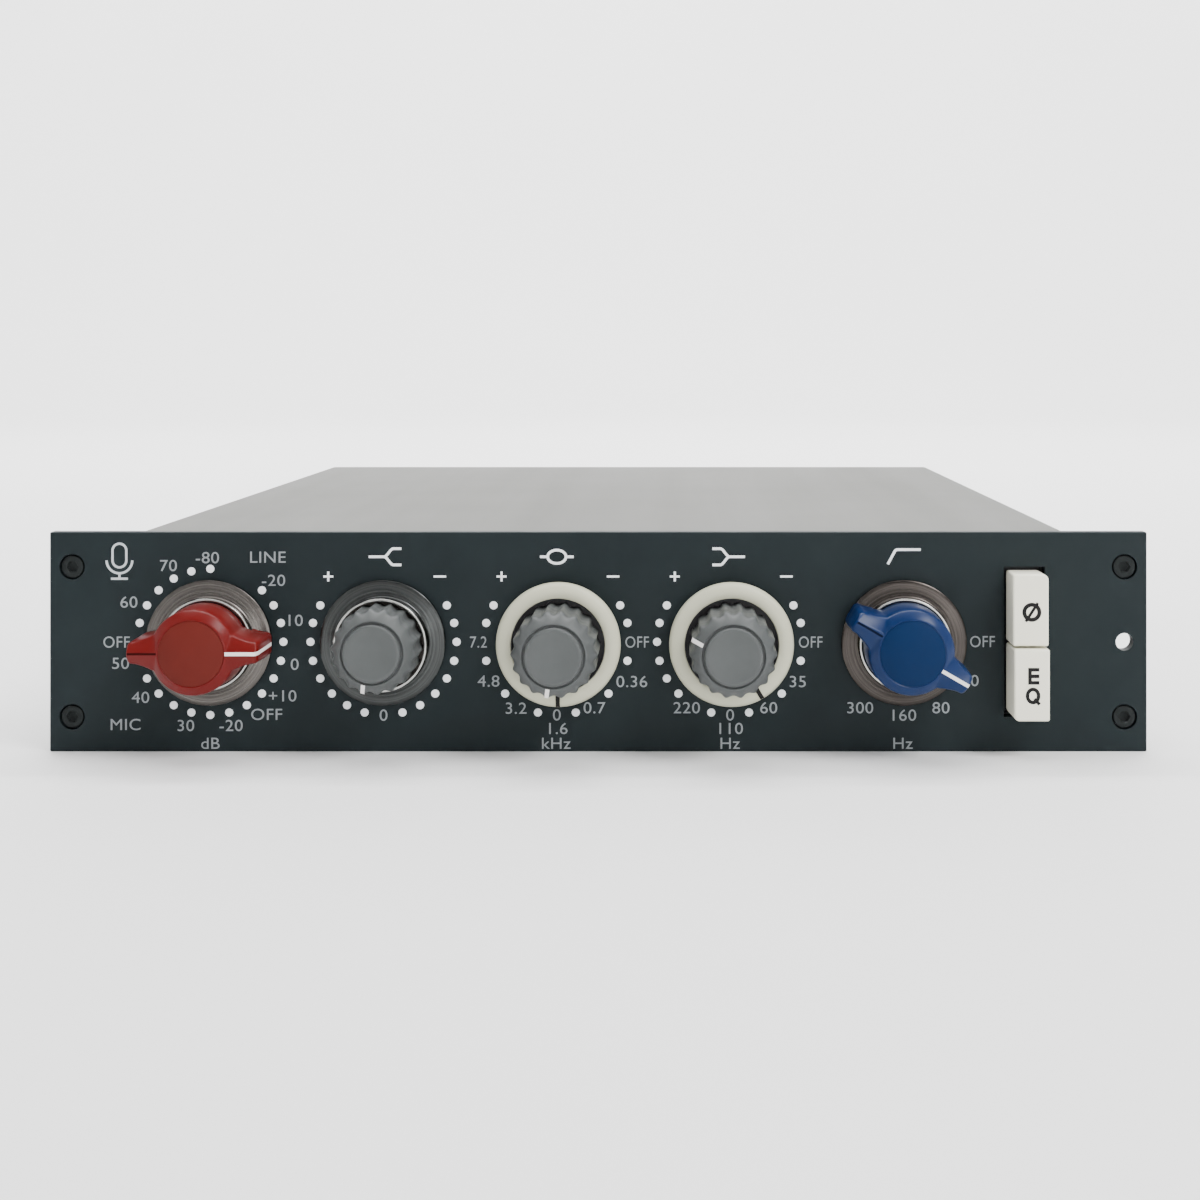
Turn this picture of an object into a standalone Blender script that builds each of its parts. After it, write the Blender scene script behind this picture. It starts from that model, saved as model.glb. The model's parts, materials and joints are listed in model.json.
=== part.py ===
"""Microphone preamplifier module: a slim rack front with five turning controls and two push
buttons, on a closed sheet metal case that holds switches, cards and transformers.

World frame: +X to the right of the front panel, +Y from the front to the rear, +Z up.
The origin is under the middle of the module, at the height of the panel's lower edge.

Everything on the front is made in face coordinates: x to the right, y up, and h straight out
of the panel towards the user, measured from the middle of the panel's front surface.
"""

import math

import bmesh
import bpy
from mathutils import Matrix, Vector

MM = 0.001

# ---- overall size
PANEL_WIDTH = 222.25 * MM
PANEL_HEIGHT = 44.45 * MM
PANEL_THICKNESS = 3.0 * MM
OVERALL_DEPTH = 254.0 * MM      # panel face to the tips of the rear contacts
TALLEST_KNOB = 19.2 * MM        # how far the grey concentric knobs stand out
CASE_DEPTH = 240.0 * MM         # panel face to the rear panel's outer side
CASE_WIDTH = 200.0 * MM
CASE_HEIGHT = 40.2 * MM
GAP = 0.3 * MM                  # clearance between neighbouring solids

FRONT_Y = -(OVERALL_DEPTH - TALLEST_KNOB) / 2
REAR_Y = FRONT_Y + CASE_DEPTH
MIDDLE_Z = PANEL_HEIGHT / 2
CASE_TOP = MIDDLE_Z + CASE_HEIGHT / 2
CASE_BOTTOM = MIDDLE_Z - CASE_HEIGHT / 2

# ---- front panel controls, in face coordinates
KNOB_PITCH = 35.1 * MM
GAIN_X = -78.6 * MM
HF_X = GAIN_X + KNOB_PITCH
MID_X = HF_X + KNOB_PITCH + 0.5 * MM
LF_X = HF_X + 2 * KNOB_PITCH + 0.2 * MM
FILTER_X = HF_X + 3 * KNOB_PITCH
CONTROL_XS = (GAIN_X, HF_X, MID_X, LF_X, FILTER_X)
BUTTON_X = 86.3 * MM
SCREW_X = 106.6 * MM
SCREW_Y = 15.2 * MM
SIDE_HOLE_RADIUS = 1.8 * MM
PANEL_SCREW_SEAT = (            # counterbored hole: radius and height pairs
    (1.8 * MM, -PANEL_THICKNESS - MM),
    (1.8 * MM, -1.7 * MM),
    (2.6 * MM, -1.7 * MM),
    (2.6 * MM, MM),
)

# Clock angles of the pointers as the module stands, clockwise from the top, in degrees.
GAIN_CLOCK = 90
HF_CLOCK = 195
MID_CLOCK = 190
MID_RING_CLOCK = 180
LF_CLOCK = 290
LF_RING_CLOCK = 150
FILTER_CLOCK = 120

# ---- shafts and their holes
SHAFT_RADIUS = 3.0 * MM
TUBE_RADIUS = 3.2 * MM
TUBE_BORE = 2.0 * MM
INNER_SHAFT_RADIUS = 1.6 * MM
PANEL_HOLE_RADIUS = 4.8 * MM
BUSHING_RADIUS = 4.4 * MM
BUSHING_BORE = 3.6 * MM

# ---- knobs
SKIRT_RADIUS = 12.7 * MM
SKIRT_LIFT = 0.5 * MM
BOSS_RADIUS = 9.3 * MM
BOSS_HEIGHT = 4.0 * MM
WINGED_HEIGHT = 15.0 * MM
WING_REACH = 12.9 * MM
ROOF_DROP = 1.3 * MM               # from the wings' ridge down to their eaves
WING_FOOT = 2.2 * MM            # the wings' feet hang this far above the panel
HF_BOSS_RADIUS = 9.5 * MM
HF_BOSS_HEIGHT = 5.4 * MM
HF_HEIGHT = 15.5 * MM
RING_RADIUS = 12.8 * MM
RING_OPENING = 9.4 * MM
RING_HEIGHT = 5.3 * MM
RING_FLOOR = 2.2 * MM
FLUTE_COUNT = 18
FLUTED_RADIUS = 8.5 * MM
FLUTE_DEPTH = 0.5 * MM
FLUTED_TOP_RADIUS = 6.0 * MM

# ---- facets of round pieces
KNOB_SEGMENTS = 32
HOLE_SEGMENTS = 20
SMALL_SEGMENTS = 12
HIDDEN_SEGMENTS = 16

# ---- buttons
BUTTON_WIDTH = 7.1 * MM
BUTTON_HEIGHT = 14.3 * MM
BUTTON_PITCH = 14.7 * MM
PHASE_REACH = 7.0 * MM
EQ_REACH = 8.2 * MM
BUTTON_SLOT_WIDTH = 8.3 * MM
BUTTON_SLOT_HEIGHT = 30.4 * MM
PLUNGER_SIDE = 3.0 * MM

# ---- case
COVER_GAUGE = 1.2 * MM
COVER_FLANGE = 14.0 * MM
COVER_BEND = 1.6 * MM
RAIL_GAUGE = 2.0 * MM
RAIL_LIP = 8.0 * MM
PLATE_GAUGE = 2.0 * MM
INSIDE_WIDTH = CASE_WIDTH - 2 * (COVER_GAUGE + GAP)
INSIDE_TOP = CASE_TOP - COVER_GAUGE - GAP
INSIDE_BOTTOM = CASE_BOTTOM + COVER_GAUGE + GAP
COVER_SCREW_INSET = 7.5 * MM
COVER_SCREW_ROWS = (FRONT_Y + 26 * MM, REAR_Y - 22 * MM)
FRAME_H = -(PANEL_THICKNESS + GAP)           # front side of the switch frame, in face depth
SWITCH_H = FRAME_H - PLATE_GAUGE - GAP       # front side of the switches behind that frame

# ---- inside
BOARD_TOP = INSIDE_BOTTOM + RAIL_GAUGE + GAP + 1.6 * MM
BOARD_FRONT_Y = FRONT_Y + 62 * MM
BOARD_REAR_Y = REAR_Y - 16 * MM
STAND_Z = BOARD_TOP + GAP                    # what stands on the main board starts here

# ---- rear connector
CONNECTOR_FLANGE = (78.0 * MM, 20.0 * MM, 2.5 * MM)
CONNECTOR_BLOCK = (60.0 * MM, 14.0 * MM)
CONNECTOR_BLOCK_REACH = 7.0 * MM
CONNECTOR_BLOCK_INSIDE = 6.0 * MM
CONTACT_COLUMNS = 9
CONTACT_PITCH = 6.0 * MM
CONTACT_ROW_Z = 3.4 * MM
CONTACT_WIDTH = 2.6 * MM
CONTACT_GAUGE = 0.8 * MM

# ---- colours (linear red, green, blue), roughness and metallic value of each material
FINISHES = {
    "panel_paint": ((0.030, 0.038, 0.043), 0.45, 0.0),
    "case_metal": ((0.45, 0.45, 0.43), 0.42, 1.0),
    "frame_metal": ((0.55, 0.55, 0.54), 0.45, 1.0),
    "black_steel": ((0.015, 0.015, 0.016), 0.40, 0.8),
    "plated_screw": ((0.62, 0.61, 0.58), 0.32, 1.0),
    "knob_red": ((0.200, 0.038, 0.027), 0.35, 0.0),
    "knob_blue": ((0.010, 0.048, 0.150), 0.35, 0.0),
    "knob_grey": ((0.180, 0.190, 0.190), 0.45, 0.0),
    "skirt_metal": ((0.30, 0.28, 0.26), 0.25, 1.0),
    "pale_ring": ((0.58, 0.58, 0.52), 0.40, 0.0),
    "ivory": ((0.78, 0.76, 0.68), 0.30, 0.0),
    "shaft_steel": ((0.60, 0.60, 0.60), 0.30, 1.0),
    "circuit_board": ((0.030, 0.110, 0.050), 0.50, 0.0),
    "transformer_can": ((0.42, 0.43, 0.45), 0.35, 1.0),
    "core_steel": ((0.16, 0.15, 0.15), 0.50, 0.9),
    "black_plastic": ((0.020, 0.020, 0.022), 0.50, 0.0),
    "contact_brass": ((0.70, 0.56, 0.25), 0.28, 1.0),
    "cap_sleeve": ((0.040, 0.070, 0.200), 0.40, 0.0),
    "loom_sleeve": ((0.060, 0.060, 0.065), 0.55, 0.0),
}


# ---------------------------------------------------------------- scene and object helpers

def clear_scene():
    for thing in list(bpy.data.objects):
        bpy.data.objects.remove(thing, do_unlink=True)


def finish_material(name):
    colour, roughness, metallic = FINISHES[name]
    material = bpy.data.materials.new(name)
    material.use_nodes = True
    shader = material.node_tree.nodes["Principled BSDF"]
    shader.inputs["Base Color"].default_value = (*colour, 1.0)
    shader.inputs["Roughness"].default_value = roughness
    shader.inputs["Metallic"].default_value = metallic
    return material


def solid(name, bm, finish, parent=None, place=(0, 0, 0)):
    """An object from a bmesh, with its own material; its faces are turned outwards."""
    bmesh.ops.recalc_face_normals(bm, faces=bm.faces)
    mesh = bpy.data.meshes.new(name)
    bm.to_mesh(mesh)
    bm.free()
    thing = bpy.data.objects.new(name, mesh)
    thing.location = place
    thing.parent = parent
    if finish:
        thing.data.materials.append(finish_material(finish))
        mesh.shade_smooth()
        mesh.set_sharp_from_angle(angle=math.radians(35))
    bpy.context.collection.objects.link(thing)
    return thing


def empty(name, parent=None, place=(0, 0, 0), turn=(0, 0, 0)):
    marker = bpy.data.objects.new(name, None)
    marker.empty_display_size = 0.01
    marker.location = place
    marker.rotation_euler = turn
    marker.parent = parent
    bpy.context.collection.objects.link(marker)
    return marker


def tool(name, bm, parent=None, place=(0, 0, 0)):
    """A hidden solid that a Boolean cuts with or adds."""
    thing = solid(name, bm, None, parent, place)
    thing.hide_render = True
    thing.display_type = "WIRE"
    return thing


def combine(target, other, operation):
    step = target.modifiers.new(other.name, "BOOLEAN")
    step.object = other
    step.operation = operation
    step.solver = "EXACT"


def round_edges(thing, width, segments=1):
    step = thing.modifiers.new("rounded edges", "BEVEL")
    step.width = width
    step.segments = segments
    step.limit_method = "ANGLE"
    step.angle_limit = math.radians(40)


# ---------------------------------------------------------------- shape helpers

def loft(bm, rings, closed=False):
    """Skin a row of equal rings; the ends are capped, or joined when the row is closed."""
    rows = [[bm.verts.new(point) for point in ring] for ring in rings]
    pairs = list(zip(rows, rows[1:]))
    if closed:
        pairs.append((rows[-1], rows[0]))
    for low, high in pairs:
        count = len(low)
        for i in range(count):
            j = (i + 1) % count
            bm.faces.new((low[i], low[j], high[j], high[i]))
    if not closed:
        bm.faces.new(rows[0])
        bm.faces.new(rows[-1])


def box(bm, low, high):
    size = Vector(high) - Vector(low)
    middle = (Vector(high) + Vector(low)) / 2
    placed = Matrix.Translation(middle) @ Matrix.Diagonal((*size, 1.0))
    bmesh.ops.create_cube(bm, size=1.0, matrix=placed)


def circle(radius, height, segments, centre=(0, 0)):
    step = math.tau / segments
    return [
        (centre[0] + radius * math.cos(i * step), centre[1] + radius * math.sin(i * step), height)
        for i in range(segments)
    ]


def hexagon(across_flats, height, segments):
    """A hexagon with as many points as a circle, so that the two can be skinned together."""
    ring = []
    for i in range(segments):
        angle = math.tau * i / segments
        off_flat = (angle % (math.tau / 6)) - math.tau / 12
        radius = across_flats / 2 / math.cos(off_flat)
        ring.append((radius * math.cos(angle), radius * math.sin(angle), height))
    return ring


def turned(bm, profile, segments=KNOB_SEGMENTS, centre=(0, 0), closed=False):
    """A lathe shape about the h axis from (radius, height) pairs."""
    loft(bm, [circle(radius, height, segments, centre) for radius, height in profile], closed)


def prism(bm, outline, low, high, axis):
    """Extrude an outline along X, Y or Z; its pairs are the other two axes, in order."""
    def placed(pair, along):
        point = list(pair)
        point.insert("XYZ".index(axis), along)
        return point
    loft(bm, [[placed(pair, along) for pair in outline] for along in (low, high)])


def along_axis(bm, direction, place):
    """Turn a shape made along +h so that it points along a world direction, and move it."""
    turn = Vector((0, 0, 1)).rotation_difference(Vector(direction)).to_matrix().to_4x4()
    bmesh.ops.transform(bm, matrix=Matrix.Translation(place) @ turn, verts=bm.verts)


def clock_turn(clock):
    """The rotation about h that brings +y to a clock angle, clockwise as the user sees it."""
    return (0, 0, -math.radians(clock))


# ---------------------------------------------------------------- front panel

def front_panel(face):
    bm = bmesh.new()
    box(bm, (-PANEL_WIDTH / 2, -PANEL_HEIGHT / 2, -PANEL_THICKNESS), (PANEL_WIDTH / 2, PANEL_HEIGHT / 2, 0))
    panel = solid("front_panel", bm, "panel_paint", face)
    round_edges(panel, 0.2 * MM)
    bm = bmesh.new()
    past = MM
    for x, radius in [(x, PANEL_HOLE_RADIUS) for x in CONTROL_XS] + [(SCREW_X, SIDE_HOLE_RADIUS)]:
        turned(bm, [(radius, -PANEL_THICKNESS - past), (radius, past)], HOLE_SEGMENTS, (x, 0))
    for x in (-SCREW_X, SCREW_X):
        for y in (-SCREW_Y, SCREW_Y):
            turned(bm, PANEL_SCREW_SEAT, HOLE_SEGMENTS, (x, y))
    slot_x = BUTTON_SLOT_WIDTH / 2
    slot_y = BUTTON_SLOT_HEIGHT / 2
    box(bm, (BUTTON_X - slot_x, -slot_y, -PANEL_THICKNESS - past), (BUTTON_X + slot_x, slot_y, past))
    combine(panel, tool("front_panel_holes", bm, face), "DIFFERENCE")


def socket_screw(bm, head_radius, head_height, shank_radius, shank_length, hex_size):
    """A socket head screw along h, with the top of its head at zero."""
    rings = [
        hexagon(hex_size, -head_height * 0.65, SMALL_SEGMENTS),
        hexagon(hex_size, 0, SMALL_SEGMENTS),
        circle(head_radius, 0, SMALL_SEGMENTS),
        circle(head_radius, -head_height, SMALL_SEGMENTS),
        circle(shank_radius, -head_height, SMALL_SEGMENTS),
        circle(shank_radius, -head_height - shank_length, SMALL_SEGMENTS),
    ]
    loft(bm, rings)


def panel_screws(face):
    corners = [(-SCREW_X, SCREW_Y), (SCREW_X, SCREW_Y), (-SCREW_X, -SCREW_Y), (SCREW_X, -SCREW_Y)]
    for number, (x, y) in enumerate(corners, 1):
        bm = bmesh.new()
        socket_screw(bm, 2.25 * MM, 1.2 * MM, 1.4 * MM, 9.0 * MM, 2.0 * MM)
        solid(f"panel_screw_{number}", bm, "black_steel", face, (x, y, -0.2 * MM))


# ---------------------------------------------------------------- case

def switch_frame(face):
    """The plate behind the front panel that carries the switches."""
    half_width = INSIDE_WIDTH / 2
    low = INSIDE_BOTTOM - MIDDLE_Z
    high = INSIDE_TOP - MIDDLE_Z
    bm = bmesh.new()
    box(bm, (-half_width, low, FRAME_H - PLATE_GAUGE), (half_width, high, FRAME_H))
    plate = solid("switch_frame", bm, "frame_metal", face)
    bm = bmesh.new()
    back = FRAME_H - PLATE_GAUGE - MM
    for x in CONTROL_XS:
        turned(bm, [(PANEL_HOLE_RADIUS, back), (PANEL_HOLE_RADIUS, FRAME_H + MM)], HOLE_SEGMENTS, (x, 0))
    slot_x = BUTTON_SLOT_WIDTH / 2
    slot_y = BUTTON_SLOT_HEIGHT / 2
    box(bm, (BUTTON_X - slot_x, -slot_y, back), (BUTTON_X + slot_x, slot_y, FRAME_H + MM))
    combine(plate, tool("switch_frame_holes", bm, face), "DIFFERENCE")


def screw_holes(bm, radius):
    """Drillings through both side walls at every cover screw."""
    for side in (-1, 1):
        for y in COVER_SCREW_ROWS:
            for z in (CASE_TOP - COVER_SCREW_INSET, CASE_BOTTOM + COVER_SCREW_INSET):
                drill = bmesh.new()
                turned(drill, [(radius, 0), (radius, 10 * MM)], SMALL_SEGMENTS)
                along_axis(drill, (-side, 0, 0), (side * (CASE_WIDTH / 2 + MM), y, z))
                mesh = bpy.data.meshes.new("drill")
                drill.to_mesh(mesh)
                drill.free()
                bm.from_mesh(mesh)
                bpy.data.meshes.remove(mesh)


def cover_outline(direction):
    """Section of a cover: a flat sheet with two turned flanges; direction is +1 for the top."""
    outer = CASE_WIDTH / 2
    inner = outer - COVER_GAUGE
    crown = CASE_HEIGHT / 2
    edge = crown - COVER_FLANGE
    bend_steps = 4
    right = [(outer, edge)]
    for i in range(bend_steps + 1):
        angle = math.pi / 2 * i / bend_steps
        right.append((
            outer - COVER_BEND + COVER_BEND * math.cos(angle),
            crown - COVER_BEND + COVER_BEND * math.sin(angle),
        ))
    left = [(-x, z) for x, z in reversed(right)]
    inside = [(-inner, edge), (-inner, crown - COVER_GAUGE), (inner, crown - COVER_GAUGE), (inner, edge)]
    return [(x, MIDDLE_Z + direction * z) for x, z in right + left + inside]


def covers(holes):
    for name, direction in (("top_cover", 1), ("bottom_cover", -1)):
        bm = bmesh.new()
        prism(bm, cover_outline(direction), FRONT_Y + PANEL_THICKNESS + GAP, REAR_Y, "Y")
        cover = solid(name, bm, "case_metal")
        combine(cover, holes, "DIFFERENCE")


def side_rails(holes):
    """Folded channels between the switch frame and the rear panel; the main board sits on them."""
    front = FRONT_Y - SWITCH_H
    back = REAR_Y - PLATE_GAUGE - GAP
    for name, side in (("left_side_rail", -1), ("right_side_rail", 1)):
        wall = INSIDE_WIDTH / 2
        web = wall - RAIL_GAUGE
        lip = wall - RAIL_LIP
        section = [
            (wall, INSIDE_BOTTOM), (wall, INSIDE_TOP), (lip, INSIDE_TOP), (lip, INSIDE_TOP - RAIL_GAUGE),
            (web, INSIDE_TOP - RAIL_GAUGE), (web, INSIDE_BOTTOM + RAIL_GAUGE),
            (lip, INSIDE_BOTTOM + RAIL_GAUGE), (lip, INSIDE_BOTTOM),
        ]
        bm = bmesh.new()
        prism(bm, [(side * x, z) for x, z in section], front, back, "Y")
        rail = solid(name, bm, "frame_metal")
        combine(rail, holes, "DIFFERENCE")


def cover_screws():
    number = 0
    for side in (-1, 1):
        for y in COVER_SCREW_ROWS:
            for z in (CASE_TOP - COVER_SCREW_INSET, CASE_BOTTOM + COVER_SCREW_INSET):
                number += 1
                bm = bmesh.new()
                socket_screw(bm, 2.6 * MM, 1.3 * MM, 1.4 * MM, 5.0 * MM, 1.9 * MM)
                head_top = side * (CASE_WIDTH / 2 + GAP + 1.3 * MM)
                along_axis(bm, (side, 0, 0), (head_top, y, z))
                solid(f"cover_screw_{number}", bm, "plated_screw")


def rear_panel():
    bm = bmesh.new()
    half = INSIDE_WIDTH / 2
    box(bm, (-half, REAR_Y - PLATE_GAUGE, INSIDE_BOTTOM), (half, REAR_Y, INSIDE_TOP))
    panel = solid("rear_panel", bm, "frame_metal")
    bm = bmesh.new()
    x = CONNECTOR_BLOCK[0] / 2 + GAP
    z = CONNECTOR_BLOCK[1] / 2 + GAP
    box(bm, (-x, REAR_Y - PLATE_GAUGE - MM, MIDDLE_Z - z), (x, REAR_Y + MM, MIDDLE_Z + z))
    combine(panel, tool("rear_panel_cutout", bm), "DIFFERENCE")


# ---------------------------------------------------------------- rear connector

def contact_places():
    for row in (-1, 1):
        for column in range(CONTACT_COLUMNS):
            x = (column - (CONTACT_COLUMNS - 1) / 2) * CONTACT_PITCH
            yield x, MIDDLE_Z + row * CONTACT_ROW_Z


def rear_connector():
    """Insulating block with a mounting flange, slotted for the contacts."""
    flange_x, flange_z, flange_y = CONNECTOR_FLANGE
    block_x, block_z = CONNECTOR_BLOCK
    seat = REAR_Y + GAP
    bm = bmesh.new()
    low_z = MIDDLE_Z - flange_z / 2
    box(bm, (-flange_x / 2, seat, low_z), (flange_x / 2, seat + flange_y, low_z + flange_z))
    body = solid("rear_connector", bm, "black_plastic")
    bm = bmesh.new()
    low = (-block_x / 2, REAR_Y - CONNECTOR_BLOCK_INSIDE, MIDDLE_Z - block_z / 2)
    high = (block_x / 2, REAR_Y + CONNECTOR_BLOCK_REACH, MIDDLE_Z + block_z / 2)
    box(bm, low, high)
    combine(body, tool("rear_connector_block", bm), "UNION")
    bm = bmesh.new()
    for x, z in contact_places():
        half_x = CONTACT_WIDTH / 2 + GAP
        half_z = CONTACT_GAUGE / 2 + GAP
        box(bm, (x - half_x, low[1] - MM, z - half_z), (x + half_x, high[1] + MM, z + half_z))
    combine(body, tool("rear_connector_slots", bm), "DIFFERENCE")


def rear_contacts():
    """Flat blades through the connector block, held together by a strip behind it."""
    strip_y = REAR_Y - CONNECTOR_BLOCK_INSIDE - GAP
    strip_x = CONTACT_COLUMNS * CONTACT_PITCH / 2
    strip_z = CONTACT_ROW_Z + 1.5 * MM
    bm = bmesh.new()
    box(bm, (-strip_x, strip_y - 1.2 * MM, MIDDLE_Z - strip_z), (strip_x, strip_y, MIDDLE_Z + strip_z))
    strip = solid("rear_connector_contacts", bm, "contact_brass")
    bm = bmesh.new()
    for x, z in contact_places():
        low = (x - CONTACT_WIDTH / 2, strip_y - 4.0 * MM, z - CONTACT_GAUGE / 2)
        high = (x + CONTACT_WIDTH / 2, FRONT_Y + OVERALL_DEPTH, z + CONTACT_GAUGE / 2)
        box(bm, low, high)
    combine(strip, tool("rear_contact_blades", bm), "UNION")


# ---------------------------------------------------------------- knobs

def winged_outline(height, body_radius, reach, tip_half_width, root_half_width):
    """A round body with two opposite wings along y that taper to blunt tips."""
    arc_steps = 7
    root = Vector((math.sqrt(body_radius ** 2 - root_half_width ** 2), root_half_width))
    corner = 0.4 * tip_half_width
    middle = (root + Vector((reach, tip_half_width))) / 2
    flank = [root, middle, Vector((reach - corner, tip_half_width)), Vector((reach, tip_half_width - corner))]
    wing = [Vector((point.x, -point.y)) for point in flank] + list(reversed(flank))
    start = math.atan2(root.y, root.x)
    arc = []
    for i in range(1, arc_steps):
        angle = start + (math.pi - 2 * start) * i / arc_steps
        arc.append(Vector((body_radius * math.cos(angle), body_radius * math.sin(angle))))
    half = wing + arc
    whole = half + [-point for point in half]
    return [(-point.y, point.x, height) for point in whole]


def winged_cap(name, finish, axis):
    """A pointer knob: a round body, and wings with a ridge along their roof."""
    crown = WINGED_HEIGHT
    eave = crown - ROOF_DROP
    foot = winged_outline(WING_FOOT, 8.6 * MM, WING_REACH, 2.4 * MM, 3.8 * MM)
    ridge = winged_outline(crown, 6.8 * MM, WING_REACH - 0.4 * MM, 0.25 * MM, 0.45 * MM)
    bm = bmesh.new()
    loft(bm, [
        inner_circle(foot, 5.0 * MM),
        foot,
        winged_outline(eave, 8.3 * MM, WING_REACH - 0.1 * MM, 2.05 * MM, 3.5 * MM),
        ridge,
        inner_circle(ridge, 6.3 * MM),
    ])
    cap = solid(name, bm, finish, axis)
    bm = bmesh.new()
    bore = SHAFT_RADIUS + GAP
    shelf = BOSS_HEIGHT + GAP
    turned(bm, [(BOSS_RADIUS + GAP, 0), (BOSS_RADIUS + GAP, shelf), (bore, shelf), (bore, 11 * MM)], 32)
    combine(cap, tool(name + "_bore", bm, axis), "DIFFERENCE")


def inner_circle(outline, radius):
    """The points of an outline drawn in towards the axis, so that caps stay convex."""
    ring = []
    for x, y, height in outline:
        reach = math.hypot(x, y)
        ring.append((x / reach * radius, y / reach * radius, height))
    return ring


def skirt(name, axis, boss_radius, boss_height):
    """Turned metal disc with a raised polished ring, bored for the shaft."""
    bore = SHAFT_RADIUS + GAP
    bm = bmesh.new()
    turned(bm, [
        (bore, SKIRT_LIFT),
        (SKIRT_RADIUS, SKIRT_LIFT),
        (SKIRT_RADIUS, 1.3 * MM),
        (SKIRT_RADIUS - 0.4 * MM, 1.6 * MM),
        (boss_radius, 1.9 * MM),
        (boss_radius, boss_height - 0.4 * MM),
        (boss_radius - 0.4 * MM, boss_height),
        (bore, boss_height),
    ], closed=True)
    solid(name, bm, "skirt_metal", axis)


def fluted_ring(radius, height, depth):
    """A circle scalloped by finger grooves; three points to a groove."""
    per_flute = 3
    count = FLUTE_COUNT * per_flute
    ring = []
    for i in range(count):
        angle = math.tau * i / count
        groove = depth * (1 - math.cos(FLUTE_COUNT * angle)) / 2
        ring.append(((radius - groove) * math.cos(angle), (radius - groove) * math.sin(angle), height))
    return ring


def fluted_cap(name, axis, foot, height, bore, bore_depth):
    """A grey knob: a fluted barrel, a sloping shoulder and a flat round top."""
    count = len(fluted_ring(FLUTED_RADIUS, 0, 0))
    shoulder = height - 3.1 * MM
    bm = bmesh.new()
    loft(bm, [
        circle(bore, foot + bore_depth, count),
        circle(bore, foot, count),
        fluted_ring(FLUTED_RADIUS, foot, FLUTE_DEPTH),
        fluted_ring(FLUTED_RADIUS, shoulder, FLUTE_DEPTH),
        circle(FLUTED_RADIUS - 0.7 * MM, shoulder + 0.6 * MM, count),
        circle(FLUTED_TOP_RADIUS, height - 0.7 * MM, count),
        circle(FLUTED_TOP_RADIUS - 0.2 * MM, height, count),
    ])
    solid(name, bm, "knob_grey", axis)


def selector_ring(name, axis):
    """The pale outer ring of a concentric control: a shallow cup bored for the tube shaft."""
    bore = TUBE_RADIUS + GAP
    bm = bmesh.new()
    turned(bm, [
        (bore, SKIRT_LIFT),
        (RING_RADIUS, SKIRT_LIFT),
        (RING_RADIUS, RING_HEIGHT - 0.7 * MM),
        (RING_RADIUS - 0.6 * MM, RING_HEIGHT),
        (RING_OPENING, RING_HEIGHT),
        (RING_OPENING, RING_FLOOR),
        (bore, RING_FLOOR),
    ], closed=True)
    solid(name, bm, "pale_ring", axis)


def rod(name, axis, radius, tip, tail):
    chamfer = 0.3 * MM
    bm = bmesh.new()
    turned(bm, [
        (radius - chamfer, tail),
        (radius, tail + chamfer),
        (radius, tip - chamfer),
        (radius - chamfer, tip),
    ], HIDDEN_SEGMENTS)
    solid(name, bm, "shaft_steel", axis)


def tube(name, axis, tip, tail):
    bm = bmesh.new()
    section = [(TUBE_BORE, tail), (TUBE_RADIUS, tail), (TUBE_RADIUS, tip), (TUBE_BORE, tip)]
    turned(bm, section, HIDDEN_SEGMENTS, closed=True)
    solid(name, bm, "shaft_steel", axis)


def knob_axis(name, face, x, clock):
    return empty(name, face, (x, 0, 0), clock_turn(clock))


def winged_knob(prefix, finish, face, x, clock):
    axis = knob_axis(prefix + "_axis", face, x, clock)
    winged_cap(prefix + "_knob_cap", finish, axis)
    skirt(prefix + "_knob_skirt", axis, BOSS_RADIUS, BOSS_HEIGHT)
    rod(prefix + "_shaft", axis, SHAFT_RADIUS, 10.5 * MM, -18 * MM)


def skirted_fluted_knob(prefix, face, x, clock):
    axis = knob_axis(prefix + "_axis", face, x, clock)
    foot = HF_BOSS_HEIGHT + GAP
    fluted_cap(prefix + "_knob_cap", axis, foot, HF_HEIGHT, SHAFT_RADIUS + GAP, 5.5 * MM)
    skirt(prefix + "_knob_skirt", axis, HF_BOSS_RADIUS, HF_BOSS_HEIGHT)
    rod(prefix + "_shaft", axis, SHAFT_RADIUS, foot + 5.0 * MM, -18 * MM)


def concentric_knob(prefix, face, x, clock, ring_clock):
    """An inner fluted knob for gain and an outer ring for frequency, each with its own shaft."""
    inner = knob_axis(prefix + "_gain_axis", face, x, clock)
    foot = RING_FLOOR + 2 * GAP
    tube_tip = foot - GAP
    fluted_cap(prefix + "_gain_knob_cap", inner, foot, TALLEST_KNOB, INNER_SHAFT_RADIUS + GAP, 12 * MM)
    rod(prefix + "_gain_shaft", inner, INNER_SHAFT_RADIUS, foot + 11 * MM, -30 * MM)
    outer = knob_axis(prefix + "_frequency_axis", face, x, ring_clock)
    selector_ring(prefix + "_frequency_ring", outer)
    tube(prefix + "_frequency_tube", outer, tube_tip, -18 * MM)


# ---------------------------------------------------------------- push buttons

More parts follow.
